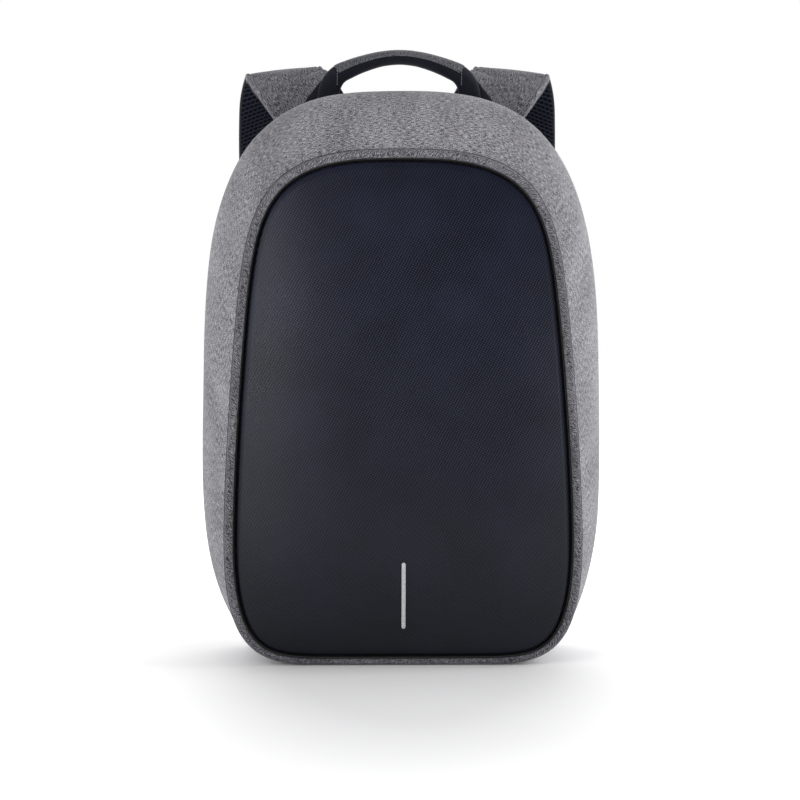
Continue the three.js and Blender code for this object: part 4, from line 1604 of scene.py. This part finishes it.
    def _coil(self) -> Array:
        """The coil as a round cord whose radius swells once for each tooth.

        Returns:
            The points, as stations by points round the cord by three.
        """
        line = self.form.rear.beside(-self.zip_start - self.zip_width / 2, self.form.back_reach + 0.1)
        closed = np.vstack([line, line[:1]])
        run = run_lengths(closed)
        teeth = int(run[-1] / self.tooth)
        place = np.linspace(0.0, run[-1], teeth * 4, endpoint=False)
        at = resample(closed, run, place)
        tangent = unit(np.roll(at, -1, axis=0) - np.roll(at, 1, axis=0))
        out = np.broadcast_to(np.array([0.0, 1.0, 0.0]), at.shape)
        side = unit(np.cross(tangent, out))
        radius = 1.0 + self.tooth_swell * np.cos(place / run[-1] * teeth * 2 * math.pi)
        angle = np.linspace(0.0, 2 * math.pi, 10, endpoint=False)
        return (
            at[:, None]
            + side[:, None] * (self.tooth_wide * radius[:, None] * np.cos(angle))[..., None]
            + out[:, None] * (self.tooth_high * radius[:, None] * np.sin(angle))[..., None]
        )

    def build(self, wardrobe: Wardrobe, nodes: Mapping[str, bpy.types.Object]) -> None:
        """Makes the pad, the tape and the coil, and dresses the slider.

        Args:
            wardrobe: The finishes.
            nodes: The CAD nodes by name.
        """
        pad = self._pad()
        self._blow_up(pad)
        wardrobe.dress(pad, wardrobe.padding, ["back_panel"])
        tape = surface("zip_tape", self._tape(), wrap_rows=True)
        wardrobe.dress(tape, wardrobe.tape, ["rear_zip"])
        coil = surface("zip_coil", self._coil(), wrap_rows=True)
        wardrobe.dress(coil, wardrobe.plastic)
        slider = rounded_copy(nodes["zip_slider"], "slider_body", width=0.6)
        wardrobe.dress(slider, wardrobe.plastic, ["zip_slider"])


@dataclass
class Handle:
    """The folded webbing handle and the woven patches at its feet."""

    form: BodyForm
    span: float = 115.0  # between the middles of its feet
    foot_drop: float = 32.6  # top of the bag to the feet
    rise: float = 61.2
    foot_width: float = 17.0
    foot_skin: float = 4.5
    grip_height: float = 11.0
    grip_depth: float = 18.0
    tab_width: float = 37.0
    tab_top: float = 8.0  # width that is left at the top
    tab_height: float = 45.0
    tab_shoulder: float = 0.59  # share of the height where the corners are cut
    tab_skin: float = 1.5
    stitch_out: float = 49.5  # from the middle of the grip
    cover_out: float = 47.5
    cover_skin: float = 0.45
    stations: int = 181
    # share of half the span, share of the rise, and the change of the section across and in depth
    route: tuple[tuple[float, float, float, float], ...] = (
        (1.0, 0.0, 0.0, 0.0), (1.0, 0.2, 0.0, 0.0), (0.998, 0.4, 0.0, 0.03), (0.975, 0.56, 0.0, 0.2),
        (0.93, 0.68, 0.1, 0.42), (0.84, 0.78, 0.3, 0.65), (0.7, 0.845, 0.5, 0.85),
        (0.5, 0.915, 0.75, 1.0), (0.25, 0.978, 0.95, 1.0), (0.0, 1.0, 1.0, 1.0),
    )

    def _grid(self) -> Array:
        """The handle as sections carried along its arch.

        Each section changes from the flat foot to the folded grip by the table's shares; the
        grip has a slanting upper front face, as folded webbing has.

        Returns:
            The points, as sections by points round a section by three.
        """
        half = np.array(self.route)
        rows = np.vstack([half, half[-2::-1] * np.array([-1.0, 1.0, 1.0, 1.0])])
        rear = self.form.back_reach + self.form.gap + self.foot_skin
        level = self.form.height - self.foot_drop + rows[:, 1] * self.rise
        points = np.stack([rows[:, 0] * self.span / 2, np.full(len(rows), rear), level], axis=-1)
        share = np.linspace(0.0, 1.0, self.stations)
        at, tangent = Spline(points).sample(share)
        step = share * (len(rows) - 1)
        across = np.interp(step, np.arange(len(rows)), rows[:, 2])[:, None]
        deep = np.interp(step, np.arange(len(rows)), rows[:, 3])[:, None]
        foot = np.array([
            (-0.5, -0.3), (-0.42, -0.5), (0.0, -0.5), (0.42, -0.5),
            (0.5, -0.3), (0.5, 0.3), (0.42, 0.5), (0.0, 0.5), (-0.42, 0.5), (-0.5, 0.3),
        ])
        grip = np.array([
            (-0.5, 0.0), (-0.46, -0.22), (-0.06, -0.52), (0.1, -0.56),
            (0.46, -0.3), (0.56, 0.1), (0.36, 0.44), (0.0, 0.52), (-0.3, 0.48), (-0.5, 0.26),
        ])
        width = mix(self.foot_width, self.grip_height, across)
        depth = mix(self.foot_skin, self.grip_depth, deep)
        side = np.stack([tangent[:, 2], np.zeros(len(at)), -tangent[:, 0]], axis=-1)
        a = mix(foot[:, 0], grip[:, 0], deep) * width
        d = (mix(foot[:, 1], grip[:, 1], deep) - 0.5) * depth
        back = np.array([0.0, 1.0, 0.0])
        return round_corners(at[:, None] + side[:, None] * a[..., None] + back * d[..., None], 2)

    @staticmethod
    def _upright(grid: Array, x: float) -> Array:
        """Where each lengthwise line of the handle crosses an upright plane at x.

        Args:
            grid: The handle's points.
            x: Side of the plane.

        Returns:
            One point for each line, as rows of three.
        """
        rows = slice(None, None, -1) if grid[0, 0, 0] > grid[-1, 0, 0] else slice(None)
        lines = grid[rows].transpose(1, 0, 2)
        return np.stack([[x, np.interp(x, c[:, 0], c[:, 1]), np.interp(x, c[:, 0], c[:, 2])] for c in lines])

    def _cover(self, grid: Array) -> Array:
        """The cloth sewn over the upper half of the grip, as a band that lies on its sections.

        Each row takes the section points above the front ridge, moved out from the middle of the
        section by the skin, and comes back 0.1 mm under the surface to close the band.

        Args:
            grid: The handle's points.

        Returns:
            The points of the band, as sections by points by three.
        """
        middle = grid.mean(axis=1, keepdims=True)
        rows = np.abs(middle[:, 0, 0]) < self.cover_out
        inner, middle = grid[rows], middle[rows]
        reach = inner - middle
        angle = np.arctan2(reach[..., 2], reach[..., 1])
        order = np.argsort(angle, axis=1)
        ring = np.take_along_axis(inner, order[..., None], axis=1)
        angle = np.take_along_axis(angle, order, axis=1)
        goal = np.linspace(0.15, math.pi - 0.12, 22)
        band = np.stack([
            np.stack([np.interp(goal, a, r[:, k], period=2 * math.pi) for k in range(3)], axis=-1)
            for a, r in zip(angle, ring)
        ])
        out = unit(band - middle)
        return np.concatenate([band + out * self.cover_skin, (band - out * 0.1)[:, ::-1]], axis=1)

    def _stitch_row(self, grid: Array, side: Side) -> bpy.types.Object:
        """The stitches down the front of the handle where its cover ends.

        Args:
            grid: The handle's points.
            side: Which end of the cover.

        Returns:
            The new object.
        """
        at = int(np.argmin(np.abs(grid[:, :, 0].mean(axis=1) - side.value * self.stitch_out)))
        depth = grid[at, :, 1]
        line = self._upright(grid, side.value * self.stitch_out)
        line = line[line[:, 1] < depth.mean() - 0.2 * np.ptp(depth)]
        line = line[np.argsort(line[:, 2])]
        up = unit(line - grid[at].mean(axis=0))
        name = f"handle_stitch_{side.label}"
        return stitches(name, line + up * 0.1, up, pitch=2.2, length=1.8, radius=0.34)

    def _patch(self, side: Side) -> bpy.types.Object:
        """The woven patch at one foot: a rectangle with its upper corners cut away.

        Args:
            side: Which foot.

        Returns:
            The new object.
        """
        wide, top, shoulder = self.tab_width / 2, self.tab_top / 2, self.tab_height * self.tab_shoulder
        corners = np.array([
            (-wide, 0.0), (wide, 0.0), (wide, shoulder),
            (top, self.tab_height), (-top, self.tab_height), (-wide, shoulder),
        ]) + np.array([side.value * self.span / 2, self.form.height - self.foot_drop])
        front = self.form.back_reach + self.foot_skin + 2 * self.form.gap
        return plate(f"patch_{side.label}", corners, front, front + self.tab_skin, edge=0.8)

    def build(self, wardrobe: Wardrobe) -> None:
        """Makes the handle, its cover and stitch rows, and the patches.

        Args:
            wardrobe: The finishes.
        """
        grid = self._grid()
        handle = surface("handle_webbing", grid, caps=True, sharp_deg=60.0)
        wardrobe.dress(handle, wardrobe.handle, ["carry_handle"])
        cover = surface("handle_cover", self._cover(grid), caps=True, sharp_deg=70.0)
        wardrobe.dress(cover, wardrobe.cover)
        for side in Side:
            wardrobe.dress(self._stitch_row(grid, side), wardrobe.grey_thread)
            wardrobe.dress(self._patch(side), wardrobe.patch, [f"handle_tab_{side.label}"])


@dataclass
class Strap:
    """One padded shoulder strap with its mesh lining, edging, ladder lock and webbing."""

    form: BodyForm
    side: Side
    width: float = 62.0
    pad: float = 6.0
    lining: float = 3.0
    lining_inset: float = 1.6
    foot_out: float = 42.0  # middle of the bag to the sewn end
    foot_drop: float = 74.6  # top of the bag to the sewn end
    rise: float = 87.4  # sewn end to the fold
    reach: float = 61.0  # how far it stands out behind the back
    spread: float = 57.4  # how much further apart the straps hang than they are sewn
    hang: float = 224.0  # fold to the lower end
    tuck: float = 34.0  # how far the lower end comes back to the bag
    toe_in: float = 8.0  # and toward its middle
    webbing_width: float = 25.0
    webbing_skin: float = 1.5
    webbing_tail: float = 70.0
    lock_skin: float = 4.0
    lock_bar: float = 4.0
    lock_round: float = 0.9
    loop_length: float = 16.0
    anchor_out: float = 94.0
    anchor_height: float = 46.0
    anchor_width: float = 34.0
    anchor_length: float = 30.0
    anchor_skin: float = 1.5
    crown: float = 0.2  # how much of the padding is crown
    groove: float = 0.9  # depth of the sewn line along each edge
    groove_at: float = 0.875  # share of the half width
    groove_wide: float = 0.018
    rim_at: float = 0.93  # share of the half width where the edge turns down
    ripple: float = 0.45
    stations: int = 301
    # shares of spread, reach, rise, hang, tuck and width, and the drop of the outer edge
    route: tuple[tuple[float, ...], ...] = (
        (0.0, 0.0, 0.0, 0.0, 0.0, 0.9, 0.3), (0.11, 0.0, 0.22, 0.0, 0.0, 0.9, 0.36),
        (0.22, 0.01, 0.4, 0.0, 0.0, 0.91, 0.46), (0.4, 0.06, 0.61, 0.0, 0.0, 0.93, 0.55),
        (0.602, 0.18, 0.823, 0.0, 0.0, 0.96, 0.44), (0.778, 0.36, 0.946, 0.0, 0.0, 0.97, 0.07),
        (0.871, 0.57, 1.037, 0.0, 0.0, 1.02, 0.083), (0.896, 0.77, 1.017, 0.0, 0.0, 1.0, 0.16),
        (0.98, 0.92, 0.81, 0.0, 0.0, 1.0, 0.0), (1.0, 1.0, 0.58, 0.0, 0.0, 1.0, 0.0),
        (1.0, 1.0, 0.58, 0.17, 0.02, 1.0, 0.0), (1.0, 1.0, 0.58, 0.36, 0.12, 1.0, 0.0),
        (1.0, 1.0, 0.58, 0.56, 0.32, 0.95, 0.0), (1.0, 1.0, 0.58, 0.74, 0.56, 0.84, 0.0),
        (1.0, 1.0, 0.58, 0.88, 0.79, 0.68, 0.0), (1.0, 1.0, 0.58, 1.0, 1.0, 0.52, 0.0),
    )

    def __post_init__(self) -> None:
        """Works out the route of the right strap and the depths of its foot."""
        self.face = self.form.back_reach + self.form.pad_rise + self.form.gap
        table = np.array(self.route)
        out, back, up, down, tuck = table[:, :5].T
        points = np.stack([
            self.foot_out + self.spread * out - self.toe_in * tuck,
            self.face + self.pad + self.form.gap / 2 + self.reach * back - self.tuck * tuck,
            self.form.height - self.foot_drop + self.rise * up - self.hang * down,
        ], axis=-1)
        share = np.linspace(0.0, 1.0, self.stations)
        at, along = Spline(points).sample(share)
        step = share * (len(table) - 1)
        drop = np.interp(step, np.arange(len(table)), table[:, 6])
        across = np.stack([np.ones(len(at)), np.zeros(len(at)), -drop], axis=-1)
        across = unit(across - along * np.sum(across * along, axis=1, keepdims=True))
        self.path = Path(at, across, unit(np.cross(across, along)))
        self.half = self.width / 2 * np.interp(step, np.arange(len(table)), table[:, 5])
        self.along = along
        self.loop_bend = self.lock_skin / 2 + self.form.gap + self.webbing_skin / 2
        self.lock_slot = 2 * self.loop_bend + self.webbing_skin + 2 * self.form.gap
        self.lock_top = self.loop_length - self.lock_bar - self.form.gap

    def _face_grid(self) -> Array:
        """The grey side: a crowned top over a flat back, with a sewn groove near each edge.

        Height is the pad, less the crown's part of it times the square of the side share, less a
        narrow bell at the groove, and falls off at the rim as a quarter circle.

        Returns:
            The points, as stations by points round the section by three.
        """
        a = np.sin(np.linspace(-math.pi / 2, math.pi / 2, 61))
        low = self.form.gap / 2
        crown = self.pad * (1 - self.crown + self.crown * (1 - a**2))
        groove = self.groove * np.exp(-(((np.abs(a) - self.groove_at) / self.groove_wide) ** 2))
        past = ((np.abs(a) - self.rim_at) / (1 - self.rim_at)).clip(0, 1)
        edge = np.sqrt(np.clip(1 - past**2, 0.0, 1.0))
        top = low + (crown - groove) * (0.25 + 0.75 * edge)
        under = np.array([0.97, 0.6, 0.2, -0.2, -0.6, -0.97])
        side = np.concatenate([a, under])
        height = np.concatenate([top, np.full(len(under), low)])
        quilt = 1 + 0.012 * np.sin(self.path.run / 9.0)[:, None] * np.cos(side * math.pi / 2)
        return self.path.mirrored(self.side).sweep(self.half[:, None] * side, height * quilt)

    def _lining_grid(self) -> Array:
        """The mesh side: a thin slab with cross ripples where the fold presses it together.

        Returns:
            The points, as stations by points round the section by three.
        """
        low, high = -self.form.gap / 2 - self.lining, -self.form.gap / 2
        ones = np.ones_like(self.half)
        side, height = slab(self.half - self.lining_inset, ones * low, ones * high)
        bend = np.linalg.norm(np.gradient(self.along, axis=0), axis=1)
        press = ease(bend / bend.max() * 1.6 - 0.25)
        ripple = self.ripple * press * np.sin(self.path.run / 5.2 * 2 * math.pi)
        inner = height < (low + high) / 2
        height = height + np.where(inner, ripple[:, None] * np.cos(side / side.max() * 1.2), 0.0)
        return self.path.mirrored(self.side).sweep(side, height)

    def _edge_cord(
        self, name: str, inset: float, height: float, across: float, thick: float
    ) -> bpy.types.Object:
        """A narrow cord along both long edges, as one swept oval each side.

        Args:
            name: Name of the piece.
            inset: How far the cord's middle lies in from the edge.
            height: Height of its middle over the seam between cloth and lining.
            across: Half its width.
            thick: Half its thickness.

        Returns:
            The new object.
        """
        angle = np.linspace(0.0, 2 * math.pi, 12, endpoint=False)
        path = self.path.mirrored(self.side)
        grids = []
        for sign in (-1.0, 1.0):
            side = sign * (self.half[:, None] - inset) + across * np.cos(angle)
            grids.append(path.sweep(side, np.broadcast_to(height + thick * np.sin(angle), side.shape)))
        return many(name, np.stack(grids))

    def _local(self, points: Sequence[tuple[float, float]]) -> Array:
        """Points given as way down and way out from the lower strap end.

        Args:
            points: Pairs of way down and way out.

        Returns:
            Points as rows of three.
        """
        pairs = np.array(points)
        return (
            self.path.at[-1]
            + pairs[:, :1] * self.along[-1]
            + pairs[:, 1:] * self.path.out[-1]
        )

    def _turn(self, down: float, sense: float) -> list[tuple[float, float]]:
        """Half a turn of webbing round a bar, as way down and way out."""
        angles = np.linspace(0.0, math.pi, 15)
        return [(down + sense * self.loop_bend * math.sin(a), -self.loop_bend * math.cos(a)) for a in angles]

    def _band(self, name: str, points: Array) -> bpy.types.Object:
        """A webbing band through points, with stations at most 2 mm apart for its weave.

        Args:
            name: Name of the piece.
            points: Points of its middle line on the right strap.

        Returns:
            The new object.
        """
        flip = np.array([float(self.side.value), 1.0, 1.0])
        run = run_lengths(points)
        place = np.unique(np.concatenate([run, np.linspace(0.0, run[-1], int(run[-1] / 2.0) + 2)]))
        keep = np.concatenate([[True], np.diff(place) > 1e-3])
        dense = resample(points, run, place)[keep]
        path = ribbon_path(dense * flip, self.path.across[-1] * flip)
        half = np.full(len(dense), self.webbing_skin / 2)
        wide = np.full(len(dense), self.webbing_width / 2)
        side, height = slab(wide, -half, half, count=24, power=9.0)
        return surface(name, path.sweep(side, height), caps=True, sharp_deg=75.0)

    def _loop(self) -> Array:
        """The short webbing that holds the ladder lock: out, round its upper bar and back.

        Returns:
            Points of its middle line.
        """
        gap = self.form.gap
        turn = self._turn(self.lock_top + self.lock_bar, 1)
        return self._local([(gap, -self.loop_bend), *turn, (gap, self.loop_bend)])

    def _webbing(self) -> Array:
        """The lower webbing: from its sewn tab up to the lock, round the lower bar, and its tail.

        Returns:
            Points of its middle line.
        """
        bar = self.lock_top + self.lock_bar + self.lock_slot
        below_lock = self._local([(bar + 2 * self.lock_bar + self.lock_slot, -self.loop_bend)])[0]
        tail = [(bar + self.webbing_tail * s, self.loop_bend) for s in (0.35, 0.7, 1.0)]
        anchor = np.array([
            self.anchor_out, self.face + self.anchor_skin + self.form.gap + self.webbing_skin / 2,
            self.anchor_height + self.anchor_length,
        ])
        down = np.array([0.0, 0.0, -self.anchor_length])
        climb = [mix(anchor, below_lock, s) for s in (0.08, 0.3, 0.6)]
        climb[0] = climb[0] + np.array([0.0, -0.4 * self.webbing_skin, 0.0])
        return np.vstack([
            anchor + 0.85 * down, anchor + 0.2 * down, *climb, below_lock,
            self._local(self._turn(bar, -1)), self._local(tail),
        ])

    def _tab(self) -> bpy.types.Object:
        """The cloth tab on the body that the lower webbing is sewn to.

        Returns:
            The new object.
        """
        half, top = self.anchor_width / 2, self.anchor_width / 2 - 2 * self.anchor_skin
        corners = np.array([
            (-half, 0.0), (half, 0.0), (top, self.anchor_length), (-top, self.anchor_length),
        ]) + np.array([self.side.value * self.anchor_out, self.anchor_height])
        name = f"lower_tab_{self.side.label}"
        return plate(name, corners, self.face, self.face + self.anchor_skin, edge=0.8)

    def _tab_stitches(self) -> bpy.types.Object:
        """A box of stitches with a cross in it, through the webbing on its tab.

        Returns:
            The new object.
        """
        wide, low, high = 9.0, 6.0, 22.0
        box = np.array([
            (-wide, low), (wide, low), (wide, high), (-wide, high),
            (-wide, low), (wide, high), (-wide, high), (wide, low),
        ]) + np.array([self.side.value * self.anchor_out, self.anchor_height])
        depth = self.face + self.anchor_skin + self.form.gap + self.webbing_skin + 0.02
        line = np.stack([box[:, 0], np.full(len(box), depth), box[:, 1]], axis=-1)
        up = np.tile([0.0, 1.0, 0.0], (len(line), 1))
        return stitches(f"tab_stitch_{self.side.label}", line, up, pitch=3.2, length=2.4)

    def _lower_end(self, wardrobe: Wardrobe, nodes: Mapping[str, bpy.types.Object]) -> None:
        """Makes the loop, the webbing and its sewn tab, and dresses the ladder lock.

        Args:
            wardrobe: The finishes.
            nodes: The CAD nodes by name.
        """
        label = self.side.label
        loop = self._band(f"lock_loop_{label}", self._loop())
        wardrobe.dress(loop, wardrobe.webbing, [f"adjuster_loop_{label}"])
        webbing = self._band(f"lower_webbing_{label}", self._webbing())
        wardrobe.dress(webbing, wardrobe.webbing, [f"webbing_{label}"])
        wardrobe.dress(self._tab(), wardrobe.patch, [f"webbing_tab_{label}"])
        wardrobe.dress(self._tab_stitches(), wardrobe.dark_thread)
        lock = rounded_copy(nodes[f"adjuster_{label}"], f"ladder_lock_{label}", self.lock_round)
        wardrobe.dress(lock, wardrobe.plastic, [f"adjuster_{label}"])

    def build(self, wardrobe: Wardrobe, nodes: Mapping[str, bpy.types.Object]) -> None:
        """Makes the strap and everything on its lower end.

        Args:
            wardrobe: The finishes.
            nodes: The CAD nodes by name.
        """
        label = self.side.label
        face = surface(f"strap_cloth_{label}", self._face_grid(), caps=True, sharp_deg=60.0)
        wardrobe.dress(face, wardrobe.strap, [f"strap_{label}"])
        lining = surface(f"strap_lining_{label}", self._lining_grid(), caps=True, sharp_deg=60.0)
        wardrobe.dress(lining, wardrobe.mesh, [f"strap_mesh_{label}"])
        binding = self._edge_cord(
            f"strap_binding_{label}", inset=1.6, height=-0.9, across=1.5, thick=1.3
        )
        wardrobe.dress(binding, wardrobe.binding)
        piping = self._edge_cord(f"strap_edging_{label}", inset=1.2, height=1.7, across=1.2, thick=1.3)
        wardrobe.dress(piping, wardrobe.edging)
        self._lower_end(wardrobe, nodes)


@dataclass(frozen=True)
class Lamp:
    """A rectangular soft light that looks at a point."""

    name: str
    place: tuple[float, float, float]
    size: tuple[float, float]
    power: float
    aim: tuple[float, float, float] = (0.0, 0.0, 0.22)

    def build(self) -> None:
        """Puts the light in the scene."""
        data = bpy.data.lights.new(self.name, "AREA")
        data.shape = "RECTANGLE"
        data.size, data.size_y = self.size
        data.energy = self.power
        lamp = bpy.data.objects.new(self.name, data)
        lamp.location = self.place
        to = unit(np.array(self.aim) - np.array(self.place))
        lamp.rotation_euler = (math.acos(-to[2]), 0.0, math.atan2(to[0], -to[1]) + math.pi)
        bpy.context.scene.collection.objects.link(lamp)


@dataclass
class Studio:
    """Camera, floor and lights. Its sizes are in metres."""

    azimuth_deg: float = -1.3
    elevation_deg: float = 3.0
    distance: float = 2.3
    target: tuple[float, float, float] = (-0.00094, 0.0, 0.1983)
    pixels_per_metre: float = 1000 / 0.78
    frame_pixels: int = 800
    floor_half: float = 6.0
    front_share: float = 0.55  # strength of the walls in front of the bag
    ceiling_share: float = 0.3
    lamps: tuple[Lamp, ...] = (
        Lamp("left_box", (-1.4, -1.2, 1.0), (0.7, 1.3), 7.0),
        Lamp("right_box", (1.55, 0.0, 1.0), (0.7, 1.3), 15.0),
        Lamp("left_strip", (-0.85, -2.1, 1.0), (0.2, 2.0), 15.0),
        Lamp("right_strip", (1.3, -1.75, 0.5), (0.12, 0.9), 6.0),
        Lamp("back_top", (0.0, 1.5, 1.4), (1.6, 0.5), 12.0, aim=(0.0, 0.1, 0.42)),
    )

    def camera(self) -> None:
        """The camera, with the lens that gives the photograph's scale at the target."""
        az, el = math.radians(self.azimuth_deg), math.radians(self.elevation_deg)
        data = bpy.data.cameras.new("camera")
        data.lens = self.distance * self.pixels_per_metre / self.frame_pixels * data.sensor_width
        data.clip_start, data.clip_end = 0.05, 50.0
        camera = bpy.data.objects.new("camera", data)
        aim = np.array([math.sin(-az) * math.cos(el), math.cos(az) * math.cos(el), -math.sin(el)])
        camera.location = tuple(np.array(self.target) - aim * self.distance)
        camera.rotation_euler = (math.pi / 2 - el, 0.0, az)
        bpy.context.scene.collection.objects.link(camera)
        bpy.context.scene.camera = camera

    def _surround(self) -> None:
        """White studio walls round the bag, softer in front of it, and a dim ceiling.

        The strength is the front share where the direction points forward and one where it
        points back. The ceiling part falls with the share of the direction along an axis that
        leans forward, so that light still comes from above the back.
        """
        world = bpy.data.worlds.new("studio")
        bpy.context.scene.world = world
        kit = Recipe(world)
        _, y, z = kit.add("SeparateXYZ", (kit.add("TexCoord", out="Object"),), out=None)
        upright = kit.add("Math", (z, 0.9), operation="MULTIPLY")
        tilt = kit.add("Math", (y, -0.4, upright), operation="MULTIPLY_ADD")
        walls, ceiling = (
            kit.add("MapRange", ways, interpolation_type="SMOOTHSTEP")
            for ways in ((y, -0.6, 0.8, self.front_share, 1.0), (tilt, 0.25, 0.95, 1.0, self.ceiling_share))
        )
        strength = kit.add("Math", (walls, ceiling), operation="MULTIPLY")
        glow = kit.add("Background", {"Color": linear("#ffffff"), "Strength": strength})
        kit.add("OutputWorld", {"Surface": glow}, out=None)

    def build(self, wardrobe: Wardrobe) -> None:
        """Sets up the floor, the white walls and the lights.

        Args:
            wardrobe: The finishes.
        """
        ends = np.array([-self.floor_half, self.floor_half]) / MM
        grid = np.stack([*np.meshgrid(ends, ends), np.zeros((2, 2))], axis=-1)
        floor = surface("studio_floor", grid, uv=grid[..., :2], wrap_cols=False)
        if floor.data.polygons[0].normal.z < 0:
            floor.data.flip_normals()
        wardrobe.wear(floor, StudioFloor())
        floor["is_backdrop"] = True
        self._surround()
        for lamp in self.lamps:
            lamp.build()
        view = bpy.context.scene.view_settings
        view.view_transform = "Standard"
        view.look = "None"


def main() -> None:
    """Builds the bag in order and reports each piece."""
    logging.basicConfig(level=logging.INFO, format="%(name)s %(message)s")
    studio = Studio()
    studio.camera()
    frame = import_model()
    cad_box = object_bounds()
    nodes = frame["nodes"]
    wardrobe = Wardrobe()
    form = BodyForm()
    Shell(form).build(wardrobe)
    FrontOpening(form).build(wardrobe, nodes)
    Back(form).build(wardrobe, nodes)
    Handle(form).build(wardrobe)
    for side in Side:
        Strap(form, side).build(wardrobe, nodes)
    studio.build(wardrobe)
    visual_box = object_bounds()
    boxes = {
        name: [[float(value) for value in corner] for corner in box]
        for name, box in (("cad", cad_box), ("visual", visual_box))
    }
    LOG.info("cad box %s", boxes["cad"])
    LOG.info("visual box %s", boxes["visual"])


if __name__ == "__main__":
    main()
